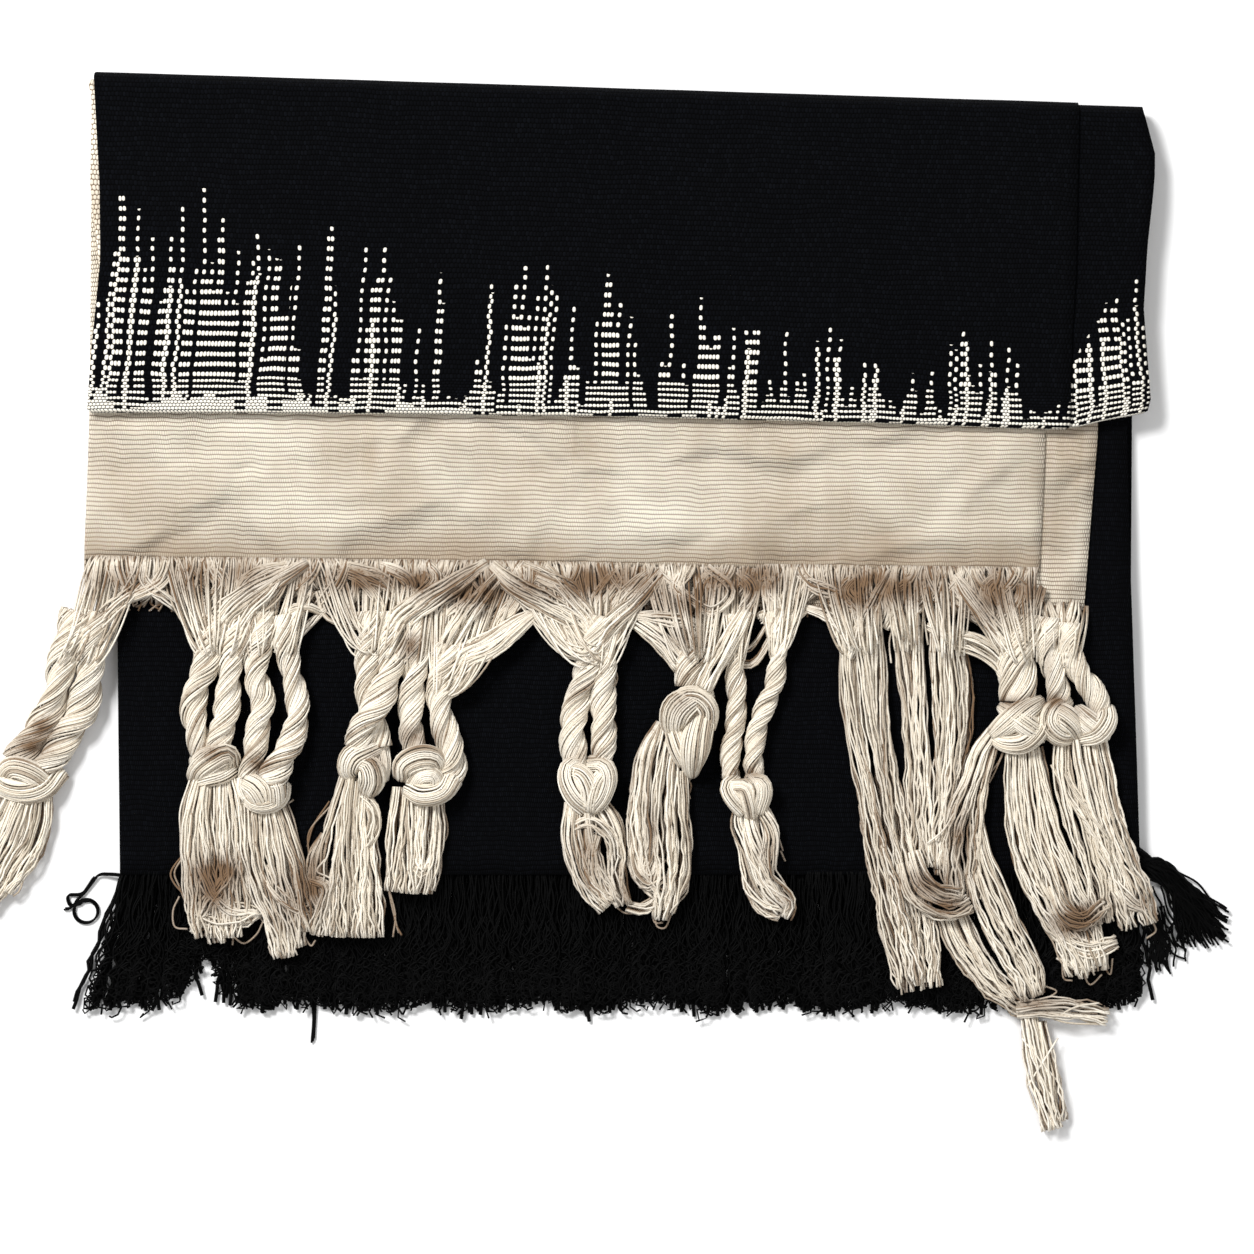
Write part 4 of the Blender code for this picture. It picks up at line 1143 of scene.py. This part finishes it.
# %% Routes of tassels 9 to 11
TASSELS["tassel_09"] = dict(
    ropes=[],
    knot=[],
    fans=[(46, 64, (58, -1, 5.6), .8), (63, 74, (70, -1, 3.8), .0), (73, 86, (80, -2, 4.8), .0)],
    strands=[
        (20, [(44, 5, .8, .4), (49, 3.4, 1.6, 1), (53.6, 0, 2.2, 1.2), (55.4, -7, 2.2, .6)]),
        (14, [(66, 14, 1, .6), (62, 7, 1.6, 2.6), (58.6, 0, 2, 2.4), (56, -8, 1.8, 1)])],
    hanks=[
        [(54.6, 3, 2.3), (54.7, -8, 2.4), (55.2, -18, 2.6), (57, -30, 2.4), (59.6, -42, 2.4),
         (61, -52, 2.4), (63, -62, 2.4), (65.6, -74, 2.6), (68, -84, 2.4), (70, -91.6, 2.2)],
        [(58.6, 2, 2.6), (59, -8, 2.8), (59.6, -18, 2.8), (61, -30, 2.7), (63, -42, 2.7),
         (64.6, -52, 2.7), (67, -62, 2.7), (70, -75, 3), (73, -91, 2.6)],
        [(62, 0, 2), (63, -10, 2.2), (63.4, -20, 2.2), (64.6, -30, 2.1), (66.6, -42, 2.3),
         (68.6, -52, 2.5), (71, -62, 2.5), (74.4, -75, 3), (76.6, -90, 2.6)],
        [(68, 1, 1.6), (69, -10, 1.9), (70.5, -22, 1.9), (71.2, -35, 2), (71.6, -46, 2.1),
         (72.4, -58, 1.9), (73, -64, 1.6)],
        [(72, 0, 1.6), (72.6, -10, 1.9), (73, -22, 1.9), (74.2, -35, 2), (75, -46, 2),
         (76, -60, 1.8)],
        [(77.4, 0, 1.8), (78, -10, 2.2), (78.8, -20, 2.2), (79, -30, 2), (78.4, -42, 2),
         (77.4, -55, 1.8)],
        [(81, -2, 1.8), (82, -10, 2.4), (82.5, -20, 2.4), (82, -30, 2.1), (80.6, -40, 2),
         (79, -52, 1.8), (78, -62, 1.6)],
        [(84, -6, 1.2), (85.3, -14, 1.6), (85.2, -22, 1.6), (84, -31, 1.4), (82, -38, 1.2)],
        [(91.4, -26, 1.6, .6), (88.2, -31, 2.2), (86.4, -37, 2.4), (83.6, -44, 2.6),
         (81.6, -52, 2.8), (81.2, -60, 2.8), (83, -68, 2.4)],
        [(92, -29, 1), (89.6, -36, 1.7), (87.6, -44, 2.1), (86.6, -52, 2.4), (86.2, -60, 2.4),
         (86.4, -68, 2)],
        [(87.6, -49, 1.7), (89.2, -58, 2.4), (92.6, -67, 2.8), (97, -77, 2.8), (101.4, -86, 2.4),
         (103, -92, 2)],
        [(86.6, -61, 2), (89.4, -70, 2.6), (93.4, -78, 2.8), (98, -86, 2.6), (100.8, -93, 2.2)],
        [(79, -72, 2), (82, -79, 2.5), (87, -86, 2.5), (93, -92, 2.3), (100, -96.5, 1.9)],
        [(83, -71, 1.6), (86, -78, 2), (91, -86, 2), (97, -93, 1.8)],
        [(69, -59, 1.8, 1.2), (71, -65.4, 2.4, 2.2), (75.6, -69.4, 2.7, 2.6), (81, -70.6, 2.5, 2.4),
         (85.6, -69, 2, 1.6)],
        [(71.6, -56, 1.6, 2), (73.8, -62.6, 2, 2.8), (78, -66, 2.2, 2.8), (83.4, -67, 1.8, 2)],
        [(97.6, -96, 2, .6), (105, -95.4, 2.6, .6), (113, -96, 2.8), (120.4, -97.6, 2.2)],
        [(100.6, -97, 2.2), (102, -107, 3), (104.2, -117, 3.2), (106.4, -126, 2.4)],
        [(103.4, -99, 1.8), (105.4, -109, 2.4), (107.2, -118, 2.4), (108.6, -124, 1.8)]],
    locks=[],
    strays=[
        [(92, -27, .8), (94, -29, .3), (93.6, -32.6, .2), (90.8, -36.6, .3)],
        [(92, -27, .8), (94.4, -30, .3), (92.6, -35, .2), (90.6, -39, .3)],
        [(75, -54, 3.4), (79, -50.6, 3.6), (82, -46, 3)],
        [(66, -9, 2), (65.6, -4, 1), (66.4, 0, 1)],
        [(52.6, 1, .4), (51.8, -1.6, .2), (52.8, -3.6, .3)],
        [(105, -90, .8), (107.6, -91.4, .4), (104, -93.6, .8)],
        [(99, -103, 2.6), (103, -108, 3.8), (108, -114, 2.2)],
        [(108, -103, 2), (104, -109, 3.8), (100.4, -115, 2.2)],
        [(107, -98, 3), (112, -95, 4), (118, -94, 3)],
        [(104, -97, 3), (110, -99, 4), (119, -99.6, 2)]])
TASSELS["tassel_10"] = dict(
    ropes=[
        [(97.6, 3, 5.2, .4), (97.4, -3, 4.9, .6), (97.2, -9, 4.4, .6), (97.5, -14, 4.2, .6),
         (97.2, -18.6, 4.1, .6)]],
    fans=[(84, 103, 0, .6)],
    strands=[
        (30, [(75, .4, 1.2, .5), (81, -2.4, 2.4, 1), (88, -5, 2.8, 1.2), (93, -9, 2.5, 1),
              (95.6, -14, 2, 1)]),
        (20, [(82, 13, 1, .6), (86, 7, 2, 2.6), (91, 0, 2.4, 2.8), (95, -6, 2.4, 2)]),
        (14, [(104, 10, 1, .6), (102, 4, 1.6, 2.4), (99.6, -4, 2, 2.4), (97, -11, 1.8, 2)])],
    knot=[
        [(103.4, -18.8, 2.4, 1.8), (99.6, -20.6, 5, 3), (95.4, -23.6, 5.2, 3.1),
         (91.4, -26.6, 2.8, 1.8)],
        [(93.8, -19.8, 2.4, 1.6), (97, -22.4, 5.6, 2.8), (100.6, -25.4, 5.4, 3),
         (103.6, -27.6, 2.6, 1.8)],
        [(104, -21, 2.6, 2), (102.8, -25.2, 4.6, 2.8), (98.8, -28.6, 4.8, 2.9),
         (94.4, -28.8, 3.4, 2.2), (91.6, -27.4, 2, 1.5)]],
    locks=[
        [(97, -29.6, 2.2), (96.8, -40, 2.5), (97.6, -52, 2.8), (100.4, -62, 3), (104.8, -71, 3),
         (109.6, -79, 2.8), (112, -87, 2.2)],
        [(100, -29.6, 2.4), (100.6, -40, 3), (102, -52, 3), (105, -62, 3), (109, -72, 3),
         (113.4, -81, 3), (115, -87.5, 2.3)],
        [(102.6, -30, 1.8), (104.4, -40, 2.4), (107, -52, 3), (110.4, -62, 3), (113.4, -70, 3),
         (117, -79, 2.8), (118.2, -86, 2.2)],
        [(105.4, -65, 1.7, 1), (109, -71.6, 2.4, 2), (114, -73.4, 2.6, 2.2),
         (119.4, -69, 1.7, 1.4)],
        [(104.4, -72, 1.5, .5), (109.6, -78, 2.2, 1.2), (116.6, -80.4, 2.2, 1.2),
         (122.4, -78.6, 1.5)],
        [(108, -82, 1.2, .4), (113, -84.6, 1.4, 1), (119, -83, 1.2, .6)]],
    strays=[
        [(109, -84, .5), (109.4, -88, .2), (111.6, -88.6, .2)],
        [(114, -86, .5), (116, -89.6, .2), (119, -87, .2)],
        [(119, -84, .5), (121, -87, .2), (121.6, -83, .3)]])
TASSELS["tassel_11"] = dict(
    ropes=[
        [(105.4, 2.4, 2.4, .4), (105, -4, 2.8), (106.2, -10, 2.8), (107.6, -15, 2.7),
         (107.6, -20, 2.4)],
        [(110.2, 1, 2.6), (110.2, -5, 2.7), (113, -11.6, 2.8), (116.8, -16.6, 2.8),
         (118.2, -21.6, 2.5)]],
    fans=[(103.2, 109, 0, .0), (107, 115.6, 1, .3)],
    wide_edge=True,
    strands=[],
    knot=[
        [(110.4, -18.6, 2.4, 1.6), (107, -20.6, 4.4, 2.8), (105.8, -23.8, 4.8, 3.2),
         (108, -26.8, 3.8, 2.8), (111, -27.6, 2.2, 1.8)],
        [(105.6, -20, 2.4, 1.6), (109, -22, 5.2, 2.9), (111.6, -24.6, 4.8, 2.6),
         (113, -27.4, 2.6, 1.8)],
        [(120.2, -20.4, 2.6, 1.8), (119.4, -23.4, 4.8, 2.8), (117, -26.2, 4.8, 3.0),
         (113.6, -27.4, 3, 2.2)],
        [(112.6, -20.8, 3, 1.8), (114.6, -23.2, 5.2, 2.8), (117.4, -25.6, 4.4, 2.6),
         (119.6, -27.4, 2.2, 1.6)]],
    locks=[
        [(108.6, -28, 2), (108.8, -36, 2.4), (111, -45, 2.9), (114.4, -55, 3), (117.4, -65, 2.8),
         (119.4, -74, 2.4)],
        [(113, -28, 2.5), (114.4, -37, 3), (116.6, -47, 3), (119.6, -57, 3), (123, -67, 2.8),
         (125.6, -75.5, 2.3)],
        [(117.6, -27.4, 2.1), (119.2, -36, 2.5), (121, -46, 2.6), (124, -56, 2.8), (128, -65, 2.6),
         (131, -74, 2.1)],
        [(107, -34, 1.3, .6), (112, -43, 1.8, 1.8), (118, -52, 1.8, 1.8), (121, -60, 1.2, 1)],
        [(120, -62, 1.3, .6), (125, -68, 1.8, 1.8), (130.4, -70.4, 1.4, 1)]],
    strays=[
        [(120.4, -31, .6), (121.6, -37, .3), (121, -42, .4)],
        [(125, -52, .6), (125.4, -60, .3), (124, -64, .6)],
        [(131, -73, .4), (132.4, -76, .2), (130, -78, .2)]])

# %% Building a tassel from its routes
WARP_SPACING = 0.40
ROPE_TWIST = -0.88


def cream_edge(x, end_y):
    """A cream ply's edge at x: its y, in millimetres."""
    return end_y / MM + lean(x * MM, end_y) / MM


def lay(tassel, points, half_height, flattening=1.0):
    """Stations with heights: each point lies on what is under it, plus its own extra height."""
    stations = []
    for x, y, half_width, *extra in points:
        high = min(half_height, half_width * flattening)
        stations.append((x, y, float(rest_height(tassel, y)) + high + sum(extra), half_width, high))
    return stations


def narrowed(stations, share):
    return [(x, y, z, wide * share, high * share) for x, y, z, wide, high in stations]


def fan(x_from, x_to, root, half_width, sag, end_y, start_z):
    """Warp ends from a stretch of the cream edge to the top of a rope."""
    count = int(abs(x_to - x_from) / WARP_SPACING)
    yarns = []
    for n in range(count):
        share = (n + draw.uniform(0.2, 0.8)) / count
        x = x_from + (x_to - x_from) * share
        start = np.array([x, cream_edge(x, end_y) + 1.0, start_z + draw.uniform(-0.2, 0.5)])
        across = np.clip((share * 2 - 1) * 0.85 + draw.uniform(-0.25, 0.25), -1, 1)
        end = np.array([root[0] + half_width * across, root[1] - 1.5 + draw.uniform(-4.5, 1),
                        root[2] + half_width * draw.uniform(0.0, 1.0) * math.sqrt(1 - across ** 2)])
        away = end[0] - x
        lift = 0.6 + 2.2 * draw.random()
        one = start + np.array([draw.uniform(-3, 3) + 0.15 * away, -draw.uniform(3, 7), lift])
        hang = 6.5 - sag * min(abs(away), 16) * 0.75 + draw.uniform(-1, 1)
        two = end + np.array([-away * 0.45, hang, lift])
        t = np.linspace(0, 1, 14)[:, None]
        yarns.append((1 - t) ** 3 * start + 3 * (1 - t) ** 2 * t * one
                     + 3 * (1 - t) * t ** 2 * two + t ** 3 * end)
    return yarns


LOBE_DIP = 0.8


def build_tassel(name, parts):
    """The pieces of one tassel: its warp, knot and tail, or its warp and two shares of hanks."""
    warp, knot, tail = [], [], []
    for rope in parts["ropes"]:
        stations = lay(name, rope, 2.8)
        radius = rope[1][2]
        strands = two_strands(int(13 * radius))
        warp += bundle(stations, strands, twist=ROPE_TWIST / radius, shuffle=0.05, step=1.1)
        warp += bundle(narrowed(stations, 0.6), rim(10), twist=0.1, step=2.5)
    edge = CREAM_WIDE_END_Y if parts.get("wide_edge") else CREAM_NARROW_END_Y
    start_z = (wide_high if parts.get("wide_edge") else narrow_high)[2] / MM - 0.2
    for x_from, x_to, target, sag in parts["fans"]:
        point = parts["ropes"][target][1] if isinstance(target, int) else target
        root = lay(name, [point], 2.7)[0]
        warp += fan(x_from, x_to, root[:3], root[3], sag, edge, start_z)
    for count, route in parts["strands"]:
        stations = lay(name, route, 1.6, 0.6)
        stations = [(x, y, z + 1.0, wide, high) for x, y, z, wide, high in stations]
        warp += bundle(stations, filled(count), twist=0.02, waver=(0.1, 0.25), step=1.5)
    for lobe in parts["knot"]:
        stations = [(x, y, float(rest_height(name, y)) + high, radius, radius * 0.9)
                    for x, y, high, radius in lobe]
        for end in (0, -1):  # a lobe's ends go in under the others
            x, y, z, *size = stations[end]
            stations[end] = (x, y, z - LOBE_DIP, *size)
        knot += bundle(stations, rim(int(lobe[1][3] * 12)), twist=0.04, step=1.0, shuffle=0.05)
        knot += bundle(narrowed(stations, 0.6), rim(9), twist=0.04, step=2.0)
    for lock in parts["locks"] + parts.get("hanks", []):
        twist = parts.get("lock_twist", draw.uniform(0.01, 0.035) * draw.choice([-1, 1]))
        half = max(point[2] for point in lock)
        tail += bundle(lay(name, lock, 2.3, 0.85), filled(int(half * 10)), twist=twist,
                       waver=(0.08, 0.5), step=1.5, trim=0.05)
    for stray in parts["strays"]:
        line = [(x, y, float(rest_height(name, y)) + 0.4 + high) for x, y, high in stray]
        tail.append(smooth_line(line, 6))
    if "hanks" in parts:
        half = len(tail) // 2
        groups = [("warp", warp, True), ("hanks_upper", tail[:half], True),
                  ("hanks_lower", tail[half:], True)]
    else:
        groups = [("warp", warp, True), ("knot_yarns", knot, False), ("tail_yarns", tail, False)]
    for title, yarns, crosses in groups:
        piece = yarn_mesh(f"{name}_{title}", yarns, cream_yarn, name)
        if crosses:
            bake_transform(piece)
        else:
            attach(piece, name)
    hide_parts(*[node for node in frame["nodes"] if node.startswith(name)])


for tassel_name, tassel_parts in TASSELS.items():
    build_tassel(tassel_name, tassel_parts)

# %% Heading yarns that stay with the cloth
heading = []
for x in np.arange(-132, 102, 2.4):
    top = cream_edge(x, CREAM_NARROW_END_Y) + 0.8
    reach = draw.uniform(-9, 9)
    drop = draw.uniform(7, 12)
    climb = draw.uniform(0.3, 1.6)
    width = draw.uniform(0.8, 1.5)
    route = [(x, top, 5.4, width, 0.3),
             (x + 0.15 * reach, top - 0.35 * drop, 6 + climb, width, 0.6),
             (x + 0.55 * reach, top - 0.75 * drop, 5.9 + climb, width, 0.7),
             (x + reach, top - drop, 5.0, width * 0.8, 0.5)]
    heading += bundle(route, filled(int(6 + 4 * width)), twist=draw.uniform(-0.05, 0.05),
                      waver=(0.05, 0.3), step=1.3)
for x in np.arange(-133, 103, 0.9):
    top = cream_edge(x, CREAM_WIDE_END_Y) + 0.6
    heading.append(smooth_line([(x, top, 4.9), (x + draw.uniform(-1, 1), top - 1.4, 5.2),
                                (x + draw.uniform(-2, 2), top - draw.uniform(2, 3.4), 4.8)], 3))
heading_piece = yarn_mesh("cream_heading", heading, cream_yarn)
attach(heading_piece, "pack")
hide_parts("cream_heading_narrow_ply", "cream_heading_wide_ply")

# %% Heading locks
# Bunches of heading warp that swirl over the fans: (x, y) route and half width.
HEADING_LOCKS = [
    ([(-84, 15.5), (-91, 14), (-96, 10.5), (-99, 5)], 1.8),
    ([(-76, 3.5), (-80, 5), (-84, 4), (-87, 0.5)], 1.3),
    ([(-72, 15.5), (-66, 13.5), (-60, 11), (-57, 6)], 2.0),
    ([(-62, 15.5), (-57, 13.5), (-54, 10.5), (-57, 7.5)], 1.5),
    ([(-50, 15.5), (-48, 12), (-52, 8), (-58, 4)], 2.0),
    ([(-35, 15), (-31, 11.5), (-24, 9.5), (-15, 6), (-11, 1)], 2.2),
    ([(-26, 15.5), (-20, 12.5), (-14, 9), (-10, 3)], 2.2),
    ([(-40, 12), (-41, 8), (-45, 4), (-47, 0)], 2.2),
    ([(-33, 11), (-34, 7), (-38, 3), (-42, 0)], 2.4),
    ([(-26, 10), (-28, 6), (-32, 2.5), (-36, 0)], 2.0), ([(7, 14), (3, 11), (-2, 6), (-6, 1)], 2.2),
    ([(-1, 14.5), (-4, 11), (-7, 7), (-8.5, 2)], 2.0),
    ([(14, 14), (12, 10), (15, 6), (13, 1)], 2.0), ([(24, 14), (20, 11), (18, 6), (14, 2)], 2.2),
    ([(27, 13.5), (31, 10), (30, 6), (27, 2)], 1.8), ([(38, 13.5), (35, 9), (37, 5), (33, 2)], 1.8),
    ([(43, 13), (47, 10), (52, 8), (56, 4)], 1.8), ([(58, 13), (55, 9), (58, 5), (61, 0)], 2.3),
    ([(49, 7), (53, 5), (57, 2.5), (60, 0)], 1.6), ([(66, 12.5), (65, 8), (66, 4), (64, 0)], 2.0),
    ([(72, 13), (74, 8), (71, 4), (72, 0)], 2.0), ([(77, 13), (80, 8), (84, 4), (89, 1)], 2.1),
    ([(83, 13), (84, 9), (89, 4.5), (93, 0)], 2.3), ([(94, 13), (90, 9.5), (92, 5), (96, 0)], 2.4),
    ([(99, 12.5), (99, 8), (97, 4), (97, 0)], 2.0),
    ([(-104, 15.5), (-101, 11), (-104, 7), (-108, 3)], 1.8),
    ([(105, 6), (105.6, 3), (107, -1)], 1.7), ([(112, 6.5), (111, 3), (110, -1)], 1.7),
    ([(108.5, 6), (108.4, 2), (109, -2)], 1.7),
    ([(-114, 15), (-117, 11), (-121, 8.5), (-126, 6.5)], 1.6),
    ([(-122, 15.5), (-120, 11), (-116, 8), (-112, 5)], 1.5),
]
locks = []
for route, half in HEADING_LOCKS:
    rise = draw.uniform(1.4, 2.2)
    inner = len(route) - 2
    heights = [5.5] + [5.9 + rise] * inner + [6.2]
    widths = [0.7] + [1.0] * inner + [0.75]
    stations = [(x, y, z, half * wide, 0.7) for (x, y), z, wide in zip(route, heights, widths)]
    locks += bundle(stations, filled(int(7 + 9 * half)), twist=draw.uniform(-0.09, 0.09),
                    waver=(0.1, 0.35), step=1.3)
lock_piece = yarn_mesh("cream_heading_locks", locks, cream_yarn)
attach(lock_piece, "pack")

# %% [markdown]
# ## The black fringe
# The black end's warp was left overtwisted, so each end curls back on itself in small loops.
# Each yarn runs from the cloth down to the table, and its tip goes round in small circles. A first
# layer of straighter, thicker yarn lies under the curls, as the fringe's inner yarns do.

# %% Black fringe
FRINGE_TIP_Y = -94.0
FRINGE_ROOT_Y = -61.2
FRINGE_LEFT, FRINGE_RIGHT = -126.5, 127.5
UNDER_COUNT, UNDER_RADIUS = 900, 0.46 * MM
CURL_COUNT, CURL_RADIUS = 480, 0.27 * MM


def tip_of(x):
    """Where a fringe yarn from x on the cloth's edge ends."""
    spread = 9.0 * np.clip((-112 - x) / 15, 0, 1)
    short = 13.0 * math.exp(-((x + 105) / 5.0) ** 2)
    tip_x = x - spread + draw.normal(0, 2.0)
    return tip_x, FRINGE_TIP_Y + short + 1.0 * math.sin(x * 0.21) + draw.normal(0, 1.4)


def fringe_yarn(x, low, high, wander, curl, count):
    """One fringe yarn of count points, from the cloth's edge to the table.

    low and high place it in the fringe's thickness, and wander and curl are its waves' sizes.
    """
    tip = tip_of(x)
    t = np.linspace(0, 1, count)
    line = np.outer(1 - t, (x, FRINGE_ROOT_Y, draw.uniform(1.0, 3.6)))
    line = line + np.outer(t, (*tip, draw.uniform(0.5, 2.2)))
    turn = phase() + 2 * math.pi * (draw.uniform(1.5, 3.0) * t + draw.uniform(1.5, 4.0) * t ** 4)
    size = wander * np.sqrt(t) * (1 - t ** 4) + curl * t ** 3
    line[:, 0] += size * np.cos(turn) * draw.choice([-1, 1])
    line[:, 1] += 0.8 * size * np.sin(turn)
    line[:, 2] += 0.5 * np.sin(turn * 0.7)
    roof = np.interp(line[:, 1], [-97, -72, -62], [1.9, 3.3, 3.8])
    line[:, 2] = np.clip(line[:, 2] * high + low * roof, 0.35, roof)
    return line


under = [fringe_yarn(x, low=0.0, high=0.6, wander=0.9, curl=0.4, count=14)
         for x in np.linspace(FRINGE_LEFT, FRINGE_RIGHT, UNDER_COUNT)]
curls = [[fringe_yarn(x, low=0.35, high=0.8, wander=1.3, curl=1.35, count=46)
          for x in draw.uniform(FRINGE_LEFT, FRINGE_RIGHT, CURL_COUNT)] for _ in range(2)]
under_piece = yarn_mesh("black_fringe_under", under, black_yarn, radius=UNDER_RADIUS)
curl_pieces = [yarn_mesh(f"black_fringe_curls_{n + 1}", yarns, black_yarn, radius=CURL_RADIUS)
               for n, yarns in enumerate(curls)]

# %% Loose black corner and stray curls
CORNER_COUNT = 150
CORNER_TUFTS = ((135, -84, 34), (124.6, -86.5, 16), (114, -93, 26), (140, -79, 14))


def coil(size, turn, rise):
    """Offsets that carry a line round in circles, with a rise and fall."""
    return np.stack([size * np.cos(turn), size * np.sin(turn), rise * np.sin(turn)], axis=1)


corner = []
for n in range(CORNER_COUNT):
    spread = draw.uniform(-1, 1)
    root = (126.6 + draw.uniform(0, 1.5), -54 - 4 * abs(spread) - draw.uniform(0, 4),
            draw.uniform(0.8, 3.4))
    middle = (136 + spread, -63 - spread * 4, draw.uniform(0.8, 3.2))
    tip = (146 + draw.uniform(-8, 5), -75 - spread * 4.5 + draw.uniform(-2, 2),
           draw.uniform(0.4, 1.6))
    line = smooth_line([root, middle, tip], 12)
    size = np.linspace(0.1, 0.9, len(line)) * draw.uniform(0.5, 1.2)
    turn = np.linspace(0, draw.uniform(8, 20), len(line)) + n
    corner.append(line + coil(size, turn, 0.2))
for mid_x, low_y, count in CORNER_TUFTS:
    for n in range(count):
        x = mid_x + draw.normal(0, 2.2)
        line = smooth_line([(x - 4, low_y + 14, 1.6), (x - 1.4, low_y + 7, 1.4),
                            (x + draw.normal(0, 1.2), low_y + draw.normal(0, 1.2), 0.7)], 10)
        turn = np.linspace(0, draw.uniform(6, 16), len(line)) + n
        size = np.linspace(0.1, 0.9, len(line))
        corner.append(line + coil(size, turn, 0))
RING = [(-136 + 3 * math.cos(a), -71.5 + 2.9 * math.sin(a), 0.5) for a in np.linspace(1.2, 8.2, 14)]
STRAY_CURLS = (
    [(-127, -62.4, 2.6), (-130, -62.2, 1.4), (-133, -62.6, 0.8), (-136, -66, 0.5),
     (-139.6, -70.4, 0.5), (-141.4, -71, 0.5)],
    [(-134, -63, 0.9), (-137, -67, 0.5), (-140.4, -67.6, 0.5), (-139.8, -70, 0.5),
     (-137, -69.6, 0.5)],
    [(-133, -62.6, 0.8), (-136.4, -67, 0.6), (-138.4, -69, 0.5), *RING],
    [(-79.4, -92, 1), (-78.8, -98, 0.5), (-79.2, -104.4, 0.5)],
    [(-78.4, -92, 1), (-78.6, -98, 0.5), (-78.9, -103.6, 0.5)])
for points in STRAY_CURLS:
    for shift in (0.0, 0.35):
        corner.append(smooth_line(np.array(points) + (shift, shift, 0), 8))
corner_piece = yarn_mesh("black_corner_curls", corner, black_yarn, radius=CURL_RADIUS)
for piece in (under_piece, *curl_pieces, corner_piece):
    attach(piece, "pack")
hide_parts("black_fringe")
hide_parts("black_fringe_corner")
